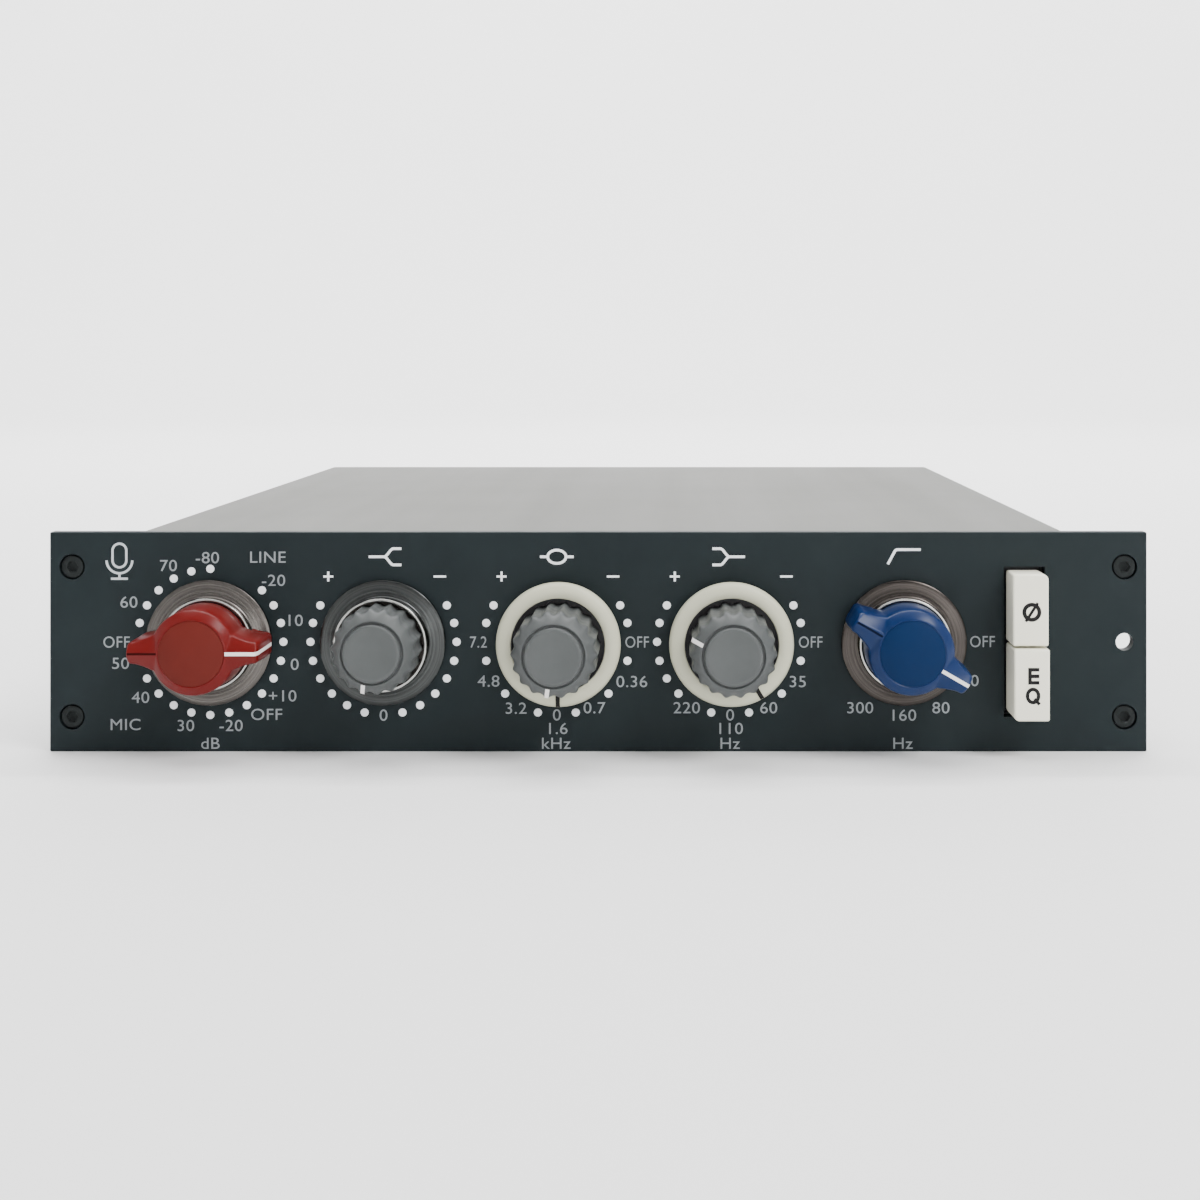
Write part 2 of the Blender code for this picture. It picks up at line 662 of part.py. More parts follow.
def button(prefix, face, y, chamfered_corner, reach):
    """A bar-shaped cap on a square plunger; one corner of each cap is cut back."""
    axis = empty(prefix + "_axis", face, (BUTTON_X, y, 0))
    x = BUTTON_WIDTH / 2
    half = BUTTON_HEIGHT / 2
    cap_back = -1.2 * MM
    bm = bmesh.new()
    box(bm, (-x, -half, cap_back), (x, half, reach))
    for edge in bm.edges:
        middle = (edge.verts[0].co + edge.verts[1].co) / 2
        if abs(middle.x - chamfered_corner[0] * x) < GAP and abs(middle.y - chamfered_corner[1] * half) < GAP:
            corner = edge
    bmesh.ops.bevel(bm, geom=[corner], offset=1.1 * MM, segments=1, affect="EDGES")
    cap = solid(prefix + "_button_cap", bm, "ivory", axis)
    round_edges(cap, 0.35 * MM)
    side = PLUNGER_SIDE / 2
    bm = bmesh.new()
    box(bm, (-side, -side, -24 * MM), (side, side, cap_back - GAP))
    solid(prefix + "_button_plunger", bm, "black_plastic", axis)


def push_switch_bank(face):
    """Two latching switches in one housing, with a channel for each plunger."""
    half_x = 5.0 * MM
    half_y = 15.5 * MM
    bm = bmesh.new()
    box(bm, (BUTTON_X - half_x, -half_y, -34 * MM), (BUTTON_X + half_x, half_y, SWITCH_H))
    bank = solid("push_switch_bank", bm, "black_plastic", face)
    bm = bmesh.new()
    reach = PLUNGER_SIDE / 2 + GAP
    for y in (-BUTTON_PITCH / 2, BUTTON_PITCH / 2):
        box(bm, (BUTTON_X - reach, y - reach, -29 * MM), (BUTTON_X + reach, y + reach, SWITCH_H + MM))
    combine(bank, tool("push_switch_channels", bm, face), "DIFFERENCE")


# ---------------------------------------------------------------- controls behind the panel

def shaft_well(depth, radius=BUSHING_BORE):
    """Inner wall of a control: from the bottom of its well to the mouth of its bushing."""
    return [(radius, depth), (radius, FRAME_H - GAP)]


def control_body(name, finish, face, x, outer, wells):
    """A turned control: wells lead in for the shafts, then the outside runs back to the tail."""
    bm = bmesh.new()
    bushing = [(BUSHING_RADIUS, FRAME_H - GAP), (BUSHING_RADIUS, SWITCH_H)]
    turned(bm, wells + bushing + outer, HIDDEN_SEGMENTS)
    solid(name, bm, finish, face, (x, 0, 0))


def wafer_stack(front, count, wafer_radius):
    """Outside of a rotary switch: a front bearing and a row of thin wafers on a hub."""
    wafer = 1.6 * MM
    spacing = 9 * MM
    hub_radius = 5 * MM
    bearing = 5.0 * MM
    plate_radius = wafer_radius - 2 * MM
    profile = [(plate_radius, front), (plate_radius, front - bearing), (hub_radius, front - bearing)]
    for i in range(count):
        place = front - bearing - spacing * (i + 0.6)
        back = place - wafer
        profile += [(hub_radius, place), (wafer_radius, place), (wafer_radius, back), (hub_radius, back)]
    tail = profile[-1][1] - 3 * MM
    profile += [(hub_radius, tail), (hub_radius - MM, tail - MM)]
    return profile


def pot_body(front, radius, depth):
    lip = 0.8 * MM
    return [
        (radius - lip, front),
        (radius, front - lip),
        (radius, front - depth + lip),
        (radius - lip, front - depth),
    ]


def panel_controls(face):
    single = shaft_well(-19.5 * MM)
    stepped = [(2.2 * MM, -31.5 * MM), (2.2 * MM, -19.5 * MM)] + shaft_well(-19.5 * MM)
    control_body("gain_switch", "frame_metal", face, GAIN_X, wafer_stack(SWITCH_H, 4, 15 * MM), single)
    control_body("hf_pot", "black_plastic", face, HF_X, pot_body(SWITCH_H, 12 * MM, 18 * MM), single)
    pot = pot_body(SWITCH_H, 12 * MM, 12 * MM)
    behind_pot = SWITCH_H - 12 * MM
    control_body("mid_switch", "frame_metal", face, MID_X, pot + wafer_stack(behind_pot, 2, 14 * MM), stepped)
    control_body("lf_switch", "frame_metal", face, LF_X, pot + wafer_stack(behind_pot, 1, 14 * MM), stepped)
    control_body("filter_switch", "frame_metal", face, FILTER_X, wafer_stack(SWITCH_H, 2, 14 * MM), single)


# ---------------------------------------------------------------- boards and components

def main_board():
    bm = bmesh.new()
    half = INSIDE_WIDTH / 2 - RAIL_GAUGE - 2 * GAP
    box(bm, (-half, BOARD_FRONT_Y, BOARD_TOP - 1.6 * MM), (half, BOARD_REAR_Y, BOARD_TOP))
    solid("main_board", bm, "circuit_board")


def amplifier_card(name, x, middle_y):
    """A plug-in card on edge, with its transistors, film capacitors and edge plug."""
    length = 78 * MM
    height = 26 * MM
    front = middle_y - length / 2
    bm = bmesh.new()
    box(bm, (x, front, STAND_Z + 3 * MM), (x + 1.6 * MM, front + length, STAND_Z + height))
    card = solid(name, bm, "circuit_board")
    bm = bmesh.new()
    face = x + 1.0 * MM
    plug_rear = front + length - 6 * MM
    box(bm, (x - 1.5 * MM, front + 6 * MM, STAND_Z), (x + 3.5 * MM, plug_rear, STAND_Z + 6 * MM))
    combine(card, tool(name + "_edge_plug", bm), "UNION")
    bm = bmesh.new()
    foot = STAND_Z + 9 * MM
    for i in range(5):
        low = front + 6 * MM + i * 14 * MM
        tall = (9 + 2 * (i % 2)) * MM
        deep = (4 + i % 3) * MM
        box(bm, (face, low, foot), (face + deep, low + 8 * MM, foot + tall))
    combine(card, tool(name + "_components", bm), "UNION")


def canned_transformer(name, middle, side, height):
    """A screened transformer: a drawn square can with rounded edges, on a foot plate."""
    x, y = middle
    half = side / 2
    bm = bmesh.new()
    foot = 1.5 * MM
    loft(bm, [
        rounded_square(x, y, half + 1.5 * MM, STAND_Z),
        rounded_square(x, y, half + 1.5 * MM, STAND_Z + foot),
        rounded_square(x, y, half, STAND_Z + foot),
        rounded_square(x, y, half, STAND_Z + height - 1.5 * MM),
        rounded_square(x, y, half - 1.5 * MM, STAND_Z + height),
    ])
    solid(name, bm, "transformer_can")


def rounded_square(x, y, half, height, radius=3 * MM, steps=3):
    ring = []
    for corner in range(4):
        middle = math.pi / 4 + corner * math.pi / 2
        centre_x = x + (half - radius) * math.copysign(1, math.cos(middle))
        centre_y = y + (half - radius) * math.copysign(1, math.sin(middle))
        for i in range(steps + 1):
            angle = corner * math.pi / 2 + math.pi / 2 * i / steps
            ring.append((centre_x + radius * math.cos(angle), centre_y + radius * math.sin(angle), height))
    return ring


def output_transformer(middle):
    """An open laminated core with its winding showing on two sides."""
    x, y = middle
    bm = bmesh.new()
    box(bm, (x - 21 * MM, y - 9 * MM, STAND_Z), (x + 21 * MM, y + 9 * MM, STAND_Z + 28 * MM))
    core = solid("output_transformer", bm, "core_steel")
    round_edges(core, 0.6 * MM)
    bm = bmesh.new()
    box(bm, (x - 13 * MM, y - 15 * MM, STAND_Z + 5 * MM), (x + 13 * MM, y + 15 * MM, STAND_Z + 23 * MM))
    combine(core, tool("output_transformer_winding", bm), "UNION")


def filter_inductor(number, middle, radius):
    """A pot core: two cups and a narrower waist."""
    bm = bmesh.new()
    waist = radius - 1.2 * MM
    turned(bm, [
        (radius, STAND_Z), (radius, STAND_Z + 6 * MM), (waist, STAND_Z + 6 * MM), (waist, STAND_Z + 7.2 * MM),
        (radius, STAND_Z + 7.2 * MM), (radius, STAND_Z + 13 * MM), (radius - 1.0 * MM, STAND_Z + 14 * MM),
    ], HIDDEN_SEGMENTS, middle)
    solid(f"filter_inductor_{number}", bm, "core_steel")


def electrolytic_capacitor(middle):
    radius = 9 * MM
    length = 38 * MM
    bm = bmesh.new()
    turned(bm, [
        (radius - MM, 0), (radius, MM), (radius, 3 * MM), (radius - MM, 4 * MM), (radius, 5 * MM),
        (radius, length - MM), (radius - MM, length),
    ], HIDDEN_SEGMENTS)
    along_axis(bm, (0, 1, 0), (middle[0], middle[1] - length / 2, STAND_Z + radius + GAP))
    solid("electrolytic_capacitor", bm, "cap_sleeve")


def heat_sink(middle):
    """A finned block on the main board that carries the output transistor."""
    x, y = middle
    fins = 6
    fin = 2.0 * MM
    pitch = 5.2 * MM
    depth = 30 * MM
    base = STAND_Z + 4 * MM
    crest = STAND_Z + 16 * MM
    section = []
    for i in range(fins):
        left = x + (i - fins / 2) * pitch
        section += [(left, base), (left, crest), (left + fin, crest), (left + fin, base)]
    right = section[-1][0]
    left = section[0][0]
    section = section[1:-1] + [(right, STAND_Z), (left, STAND_Z)]
    bm = bmesh.new()
    prism(bm, section, y - depth / 2, y + depth / 2, "Y")
    solid("heat_sink", bm, "black_steel")
    return crest


def output_transistor(middle, seat):
    """A power transistor: an oval flange with a round can."""
    bm = bmesh.new()
    flange = 1.5 * MM
    low = seat + GAP
    segments = HIDDEN_SEGMENTS

    def oval(height):
        ring = []
        for i in range(segments):
            angle = math.tau * i / segments
            reach = 10.5 * MM + 8.0 * MM * abs(math.cos(angle)) ** 5
            ring.append((middle[0] + reach * math.cos(angle), middle[1] + reach * math.sin(angle), height))
        return ring

    loft(bm, [
        oval(low),
        oval(low + flange),
        circle(9.5 * MM, low + flange, segments, middle),
        circle(9.5 * MM, low + 7.0 * MM, segments, middle),
        circle(8.7 * MM, low + 7.8 * MM, segments, middle),
    ])
    solid("output_transistor", bm, "transformer_can")


def wiring_loom():
    """A sleeved bundle over the board, from behind the rear connector to the controls."""
    points = (
        (0, REAR_Y - 24 * MM),
        (24 * MM, REAR_Y - 34 * MM),
        (66 * MM, REAR_Y - 44 * MM),
        (80 * MM, REAR_Y - 74 * MM),
        (80 * MM, REAR_Y - 110 * MM),
        (72 * MM, REAR_Y - 150 * MM),
        (66 * MM, REAR_Y - 172 * MM),
    )
    curve = bpy.data.curves.new("wiring_loom", "CURVE")
    curve.dimensions = "3D"
    curve.bevel_depth = 2.2 * MM
    curve.bevel_resolution = 2
    curve.use_fill_caps = True
    route = smooth_route(points, 4)
    spline = curve.splines.new("POLY")
    spline.points.add(len(route) - 1)
    for target, (x, y) in zip(spline.points, route):
        target.co = (x, y, STAND_Z + 4.2 * MM, 1)
    loom = bpy.data.objects.new("wiring_loom", curve)
    loom.data.materials.append(finish_material("loom_sleeve"))
    bpy.context.collection.objects.link(loom)


def smooth_route(points, steps):
    """A Catmull-Rom curve through plan points."""
    anchors = [Vector(point) for point in points]
    padded = [2 * anchors[0] - anchors[1]] + anchors + [2 * anchors[-1] - anchors[-2]]
    route = []
    for a, b, c, d in zip(padded, padded[1:], padded[2:], padded[3:]):
        for i in range(steps):
            t = i / steps
            square = (2 * a - 5 * b + 4 * c - d) * t ** 2
            cube = (3 * b - a - 3 * c + d) * t ** 3
            route.append((2 * b + (c - a) * t + square + cube) / 2)
    route.append(anchors[-1])
    return route


def components():
    main_board()
    middle_y = (BOARD_FRONT_Y + BOARD_REAR_Y) / 2
    amplifier_card("amplifier_card_1", -36 * MM, middle_y)
    amplifier_card("amplifier_card_2", -16 * MM, middle_y)
    canned_transformer("mic_transformer", (-70 * MM, BOARD_FRONT_Y + 24 * MM), 30 * MM, 27 * MM)
    canned_transformer("line_transformer", (-70 * MM, BOARD_FRONT_Y + 64 * MM), 26 * MM, 25 * MM)
    output_transformer((-70 * MM, BOARD_REAR_Y - 30 * MM))
    filter_inductor(1, (22 * MM, BOARD_FRONT_Y + 20 * MM), 11 * MM)
    filter_inductor(2, (48 * MM, BOARD_FRONT_Y + 20 * MM), 10 * MM)
    electrolytic_capacitor((16 * MM, BOARD_REAR_Y - 84 * MM))
    sink = (45 * MM, BOARD_FRONT_Y + 62 * MM)
    output_transistor(sink, heat_sink(sink))
    wiring_loom()


# ---------------------------------------------------------------- the whole module

def build():
    clear_scene()
    face = empty("front_face", None, (0, FRONT_Y, MIDDLE_Z), (math.radians(90), 0, 0))
    front_panel(face)
    panel_screws(face)
    switch_frame(face)
    bm = bmesh.new()
    screw_holes(bm, 1.8 * MM)
    holes = tool("cover_screw_drillings", bm)
    covers(holes)
    side_rails(holes)
    cover_screws()
    rear_panel()
    rear_connector()
    rear_contacts()
    panel_controls(face)
    push_switch_bank(face)
    components()
    winged_knob("gain", "knob_red", face, GAIN_X, GAIN_CLOCK)
    skirted_fluted_knob("hf", face, HF_X, HF_CLOCK)
    concentric_knob("mid", face, MID_X, MID_CLOCK, MID_RING_CLOCK)
    concentric_knob("lf", face, LF_X, LF_CLOCK, LF_RING_CLOCK)
    winged_knob("filter", "knob_blue", face, FILTER_X, FILTER_CLOCK)
    button("phase", face, BUTTON_PITCH / 2, (1, 1), PHASE_REACH)
    button("eq", face, -BUTTON_PITCH / 2, (-1, -1), EQ_REACH)


build()
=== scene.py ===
"""Looks of a microphone preamplifier module: turned, moulded and printed surfaces around the
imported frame. Metres; +X to the right of the front panel, +Y to the rear, +Z up.

Front pieces are drawn in face coordinates: x right, y up, and h straight out of the panel.
"""

import json
import math

import bmesh
import bpy
from mathutils import Matrix, Vector


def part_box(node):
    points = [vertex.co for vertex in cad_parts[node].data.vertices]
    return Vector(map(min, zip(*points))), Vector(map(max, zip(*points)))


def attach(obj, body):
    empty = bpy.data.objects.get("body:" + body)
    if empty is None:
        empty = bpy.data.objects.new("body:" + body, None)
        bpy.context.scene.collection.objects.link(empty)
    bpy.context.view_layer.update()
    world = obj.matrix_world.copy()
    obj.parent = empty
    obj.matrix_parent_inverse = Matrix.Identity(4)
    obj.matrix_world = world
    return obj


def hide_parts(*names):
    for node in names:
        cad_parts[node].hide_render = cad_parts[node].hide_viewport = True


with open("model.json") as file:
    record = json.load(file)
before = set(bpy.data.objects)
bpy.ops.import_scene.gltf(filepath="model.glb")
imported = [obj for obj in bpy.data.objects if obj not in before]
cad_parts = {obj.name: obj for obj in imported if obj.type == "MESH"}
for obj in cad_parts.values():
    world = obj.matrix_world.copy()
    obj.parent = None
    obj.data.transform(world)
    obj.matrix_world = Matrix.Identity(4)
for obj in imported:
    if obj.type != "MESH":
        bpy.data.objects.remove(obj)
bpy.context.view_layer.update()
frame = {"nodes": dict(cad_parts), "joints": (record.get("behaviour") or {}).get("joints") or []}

MM = 0.001
PANEL_LOW, PANEL_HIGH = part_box("front_panel")
FRONT_Y = PANEL_LOW.y
MIDDLE_Z = (PANEL_LOW.z + PANEL_HIGH.z) / 2
UPRIGHT = Matrix.Rotation(math.radians(90), 4, "X")
FRONT_MIDDLE = (0, FRONT_Y, MIDDLE_Z)
FACE = Matrix.Translation(FRONT_MIDDLE) @ UPRIGHT
JOINTS = {joint["name"]: joint for joint in frame["joints"]}

# Clock angles of the pointers at rest, clockwise from the top, in degrees.
REST_CLOCKS = {
    "gain_turn": 90, "hf_turn": 195, "mid_gain_turn": 190, "mid_frequency_turn": 180,
    "lf_gain_turn": 290, "lf_frequency_turn": 150, "filter_turn": 120,
}

# ---- knobs: radii, and heights above the panel
SKIRT_RADIUS = 12.7 * MM
SKIRT_LIFT = 0.5 * MM
BORE = 3.3 * MM
WINGED_BOSS = (9.3 * MM, 4.0 * MM)
HF_BOSS = (9.4 * MM, 5.0 * MM)
HF_HEIGHT = 15.5 * MM
CONCENTRIC_HEIGHT = 19.2 * MM
WINGED_HEIGHT = 15.0 * MM
WING_FOOT = 2.2 * MM
CAP_UNDERSIDE = 4.3 * MM         # the round body hangs over the boss from here
WELL_FLOOR = 2.5 * MM
LIP_WIDTH = 0.55 * MM
FLUTE_COUNT = 18
FLUTE_DEPTH = 0.64 * MM
FLUTED_RADIUS = 8.55 * MM
FLUTED_TOP_RADIUS = 5.65 * MM
RING_RADIUS = 12.65 * MM
RING_OPENING = 9.4 * MM
RING_HEIGHT = 5.3 * MM
RING_FLOOR = 2.2 * MM
RING_BORE = 3.5 * MM

# ---- printing on the panel
PRINT_THICKNESS = 0.05 * MM
LINE_WIDTH = 0.52 * MM
SIGN_WIDTH = 0.42 * MM          # plus and minus signs
SCALES = ("gain_turn", "hf_turn", "mid_gain_turn", "lf_gain_turn", "filter_turn")
FIRST_SCALE_X = -78.6 * MM
SCALE_PITCH = 35.1 * MM
DOT_RING_RADIUS = 14.8 * MM
DOT_RADIUS = 0.82 * MM
DOT_STEP = 15
CAP_HEIGHT = 2.1 * MM            # of the lettering
CAP_SHARE = 0.64                # of the typeface's size
LETTER_WIDTH = 1.1
CURVE_LEVEL = 17.25 * MM        # response curves, above the panel's middle
SIGN_LEVEL = 13.25 * MM

# ---- buttons
BUTTON_CORNER = 0.7 * MM
BUTTON_EDGE = 0.4 * MM

# ---- camera and light
EYE_ASIDE = 15.9 * MM           # the eye stands right of the panel's middle
EYE_ABOVE = 58.9 * MM
EYE_DISTANCE = 368 * MM
LENS = 54.5
SHIFT = (-0.0640, -0.2074)
SENSOR_WIDTH = 36
WORLD_STRENGTH = 0.4
# Softboxes: name, place, what it faces, width and height, and power in watts.
SOFTBOXES = (
    ("key", (0.75, -0.7, 1.0), FRONT_MIDDLE, (0.6, 0.45), 17),
    ("fill", (0.5, -1.2, 0.12), FRONT_MIDDLE, (0.9, 0.2), 2.5),
    ("top", (0.0, 0.15, 1.4), (0, 0.1, 0), (1.6, 1.2), 28),
    ("backdrop", (0.0, 0.7, 1.7), (0, 2.5, 0.35), (1.8, 0.5), 100),
)


def knob_place(joint):
    """Where a knob's own frame is: h along its axis, +y towards its pointer."""
    place = Matrix.Translation(Vector(JOINTS[joint]["pos_m"])) @ UPRIGHT
    return place @ Matrix.Rotation(-math.radians(REST_CLOCKS[joint]), 4, "Z")


def scale_x(joint):
    """Middle of a control's printed scale; two of the knobs sit a little right of theirs."""
    return FIRST_SCALE_X + SCALE_PITCH * SCALES.index(joint)


# ---------------------------------------------------------------- materials

def start_material(name, roughness, metallic, fixed):
    """A Principled material; everything in fixed is the same all over the surface."""
    material = bpy.data.materials.new(name)
    material.use_nodes = True
    tree = material.node_tree
    shader = tree.nodes["Principled BSDF"]
    shader.inputs["Roughness"].default_value = roughness
    shader.inputs["Metallic"].default_value = metallic
    for socket, value in fixed.items():
        shader.inputs[socket.replace("_", " ")].default_value = value
    return material, tree, shader


def feed(tree, socket, value):
    """Link a socket to another node's output, or set its value."""
    if isinstance(value, bpy.types.NodeSocket):
        tree.links.new(value, socket)
    else:
        socket.default_value = value


def node(tree, kind, settings=None, **inputs):
    made = tree.nodes.new("ShaderNode" + kind)
    for key, value in (settings or {}).items():
        setattr(made, key, value)
    for key, value in inputs.items():
        feed(tree, made.inputs[key.replace("_", " ")], value)
    return made


def math_node(tree, operation, first, second=0.0):
    made = node(tree, "Math", {"operation": operation})
    for socket, value in zip(made.inputs, (first, second)):
        feed(tree, socket, value)
    return made.outputs[0]


def noise(tree, scale, detail, stretch=(1, 1, 1)):
    place = node(tree, "TexCoord").outputs["Object"]
    size = [scale * part for part in stretch]
    mapped = node(tree, "Mapping", Vector=place, Scale=size).outputs["Vector"]
    return node(tree, "TexNoise", Vector=mapped, Scale=1.0, Detail=detail).outputs["Fac"]


def between(tree, value, low, high):
    """Spread the middle of a noise's range over low to high."""
    made = node(tree, "MapRange", Value=value, From_Min=0.3, From_Max=0.7, To_Min=low, To_Max=high)
    return made.outputs["Result"]


def colour_mix(tree, factor, dark, light):
    made = node(tree, "Mix", {"data_type": "RGBA"}, Factor=factor)
    colours = [socket for socket in made.inputs if socket.type == "RGBA"]
    for socket, colour in zip(colours, (dark, light)):
        socket.default_value = (*colour, 1.0)
    return [item for item in made.outputs if item.type == "RGBA"][0]


def add_relief(tree, shader, height, strength, depth):
    made = node(tree, "Bump", Height=height, Strength=strength, Distance=depth)
    tree.links.new(made.outputs["Normal"], shader.inputs["Normal"])


def surface(
    name, dark, light, gloss, blotch=60, grain=2500, relief=0.1,
    stretch=(1, 1, 1), metallic=0.0, **fixed,
):
    """Colour that drifts between two tones, gloss that varies, and a fine grain in relief."""
    material, tree, shader = start_material(name, gloss[0], metallic, fixed)
    drift = between(tree, noise(tree, blotch, 4.0), 0.0, 1.0)
    tree.links.new(colour_mix(tree, drift, dark, light), shader.inputs["Base Color"])
    wear = between(tree, noise(tree, blotch * 3.1, 5.0, stretch), *gloss)
    tree.links.new(wear, shader.inputs["Roughness"])
    add_relief(tree, shader, noise(tree, grain, 2.0, stretch), relief, 0.05 * MM)
    return material


def scaled(colour, factor):
    return tuple(part * factor for part in colour)


def plain_surface(name, colour, gloss, spread=0.12, **settings):
    return surface(name, scaled(colour, 1 - spread), scaled(colour, 1 + spread), gloss, **settings)


def turned_metal(name, dark, light, gloss, pitch=0.09 * MM, relief=0.25, **fixed):
    """Metal off the lathe: fine grooves round the piece's own h axis."""
    material, tree, shader = start_material(name, gloss[0], 1.0, fixed)
    place = node(tree, "TexCoord").outputs["Object"]
    flat = node(tree, "VectorMath", {"operation": "MULTIPLY"})
    tree.links.new(place, flat.inputs[0])
    flat.inputs[1].default_value = (1, 1, 0)
    length = node(tree, "VectorMath", {"operation": "LENGTH"})
    tree.links.new(flat.outputs["Vector"], length.inputs[0])
    radius = length.outputs["Value"]
    grooves = math_node(tree, "SINE", math_node(tree, "MULTIPLY", radius, math.tau / pitch))
    bands = node(tree, "TexNoise", {"noise_dimensions": "1D"}, Scale=1.0, Detail=3.0)
    tree.links.new(math_node(tree, "MULTIPLY", radius, 2600.0), bands.inputs["W"])
    tone = between(tree, bands.outputs["Fac"], 0.0, 1.0)
    tree.links.new(colour_mix(tree, tone, dark, light), shader.inputs["Base Color"])
    tree.links.new(between(tree, bands.outputs["Fac"], *gloss), shader.inputs["Roughness"])
    add_relief(tree, shader, math_node(tree, "ADD", grooves, bands.outputs["Fac"]), relief, 0.006 * MM)
    return material


PAINT = surface(
    "panel_paint", (0.0098, 0.0148, 0.0166), (0.0128, 0.0186, 0.0204), (0.42, 0.52),
    blotch=35, grain=3800, relief=0.22, Specular_IOR_Level=0.1,
)
PRINT = plain_surface("print_white", (0.90, 0.92, 0.94), (0.45, 0.6), 0.03, Specular_IOR_Level=0.2)
SYMBOL = plain_surface("symbol_grey", (0.50, 0.53, 0.55), (0.45, 0.6), 0.04, Specular_IOR_Level=0.2)
LETTER = plain_surface("print_grey", (0.235, 0.255, 0.265), (0.45, 0.6), 0.04, Specular_IOR_Level=0.2)
CASE = surface(
    "case_metal", (0.138, 0.138, 0.129), (0.162, 0.162, 0.152), (0.52, 0.62),
    blotch=14, grain=900, relief=0.10, stretch=(1, 0.03, 1), metallic=0.3, Specular_IOR_Level=0.1,
)
STEEL = surface(
    "frame_metal", (0.27, 0.27, 0.262), (0.35, 0.35, 0.338), (0.30, 0.42),
    blotch=30, grain=1500, relief=0.15, stretch=(1, 0.05, 1), metallic=1.0,
)
BLACK_STEEL = plain_surface("black_oxide", (0.0125, 0.0150, 0.0150), (0.45, 0.6), Specular_IOR_Level=0.1)
PLATED = plain_surface("zinc_plate", (0.40, 0.39, 0.36), (0.2, 0.3), metallic=1.0)
WARM_METAL = turned_metal("turned_metal", (0.072, 0.066, 0.061), (0.118, 0.108, 0.101), (0.18, 0.30))
BRONZED_METAL = turned_metal(
    "bronzed_turned_metal", (0.034, 0.030, 0.028), (0.066, 0.058, 0.053), (0.16, 0.28),
)
DARK_METAL = turned_metal("dark_turned_metal", (0.034, 0.036, 0.036), (0.060, 0.063, 0.062), (0.16, 0.28))
BRIGHT_METAL = turned_metal("polished_edge", (0.34, 0.34, 0.33), (0.46, 0.46, 0.44), (0.10, 0.18), relief=0.1)
RED = plain_surface(
    "red_plastic", (0.106, 0.0040, 0.0034), (0.30, 0.34), 0.05, blotch=70, grain=2600, relief=0.03,
    Specular_IOR_Level=0.17,
)
BLUE = plain_surface(
    "blue_plastic", (0.0012, 0.0140, 0.066), (0.28, 0.32), 0.05, blotch=70, grain=2600, relief=0.03,
    Specular_IOR_Level=0.2,
)
RED_CROWN = plain_surface(
    "red_crown", (0.098, 0.0135, 0.0100), (0.5, 0.62), 0.05, blotch=120, grain=2600, relief=0.08,
    Specular_IOR_Level=0.08,
)
BLUE_CROWN = plain_surface(
    "blue_crown", (0.0021, 0.0148, 0.055), (0.5, 0.62), 0.05, blotch=120, grain=2600, relief=0.08,
    Specular_IOR_Level=0.08,
)
# Darker copies of the red and blue: painted shade, laid as a strip along each tail wing's ridge.
RED_RIDGE_SHADE = plain_surface("red_ridge_shade", (0.026, 0.0015, 0.0015), (0.5, 0.6), Specular_IOR_Level=0.04)
BLUE_RIDGE_SHADE = plain_surface("blue_ridge_shade", (0.001, 0.004, 0.016), (0.5, 0.6), Specular_IOR_Level=0.04)
GREY = plain_surface(
    "grey_plastic", (0.064, 0.069, 0.069), (0.36, 0.48), 0.06, blotch=180, grain=3000, relief=0.15,
    Specular_IOR_Level=0.25,
)
POINTER = plain_surface("pointer_white", (0.80, 0.78, 0.76), (0.35, 0.5), 0.03)
RING = plain_surface(
    "stone_ring", (0.52, 0.52, 0.395), (0.34, 0.46), 0.04, blotch=120, grain=2600, relief=0.12,
    Specular_IOR_Level=0.25,
)
INK = plain_surface("black_ink", (0.011, 0.0105, 0.0105), (0.45, 0.55), Specular_IOR_Level=0.1)
IVORY = plain_surface(
    "ivory_plastic", (0.87, 0.85, 0.71), (0.30, 0.34), 0.02, blotch=40, grain=1800, relief=0.03,
    Specular_IOR_Level=0.3,
)
# Black plastic of the connector, pot and switches; also the black lining of the knob wells, which is painted
# shade.
BLACK_PLASTIC_AND_SHADE = plain_surface("black_plastic", (0.016, 0.016, 0.018), (0.4, 0.55), grain=2200, relief=0.25)
BRASS = plain_surface("contact_plate", (0.72, 0.60, 0.32), (0.2, 0.34), metallic=1.0)
BOARD = surface("circuit_board", (0.015, 0.085, 0.035), (0.035, 0.13, 0.06), (0.3, 0.5), blotch=240)
CAN = plain_surface("drawn_can", (0.44, 0.45, 0.47), (0.25, 0.4), metallic=1.0, stretch=(1, 1, 0.1))
CORE = plain_surface("core_steel", (0.10, 0.092, 0.09), (0.35, 0.55), 0.3, stretch=(1, 30, 1), metallic=0.6)
SLEEVE = plain_surface("cap_sleeve", (0.03, 0.06, 0.19), (0.25, 0.4))
RUBBER = plain_surface("loom_sleeve", (0.02, 0.02, 0.022), (0.5, 0.65), relief=0.4)
STUDIO_WHITE = plain_surface(
    "studio_white", (0.90, 0.90, 0.90), (0.6, 0.7), 0.01, blotch=3, relief=0.0,
)

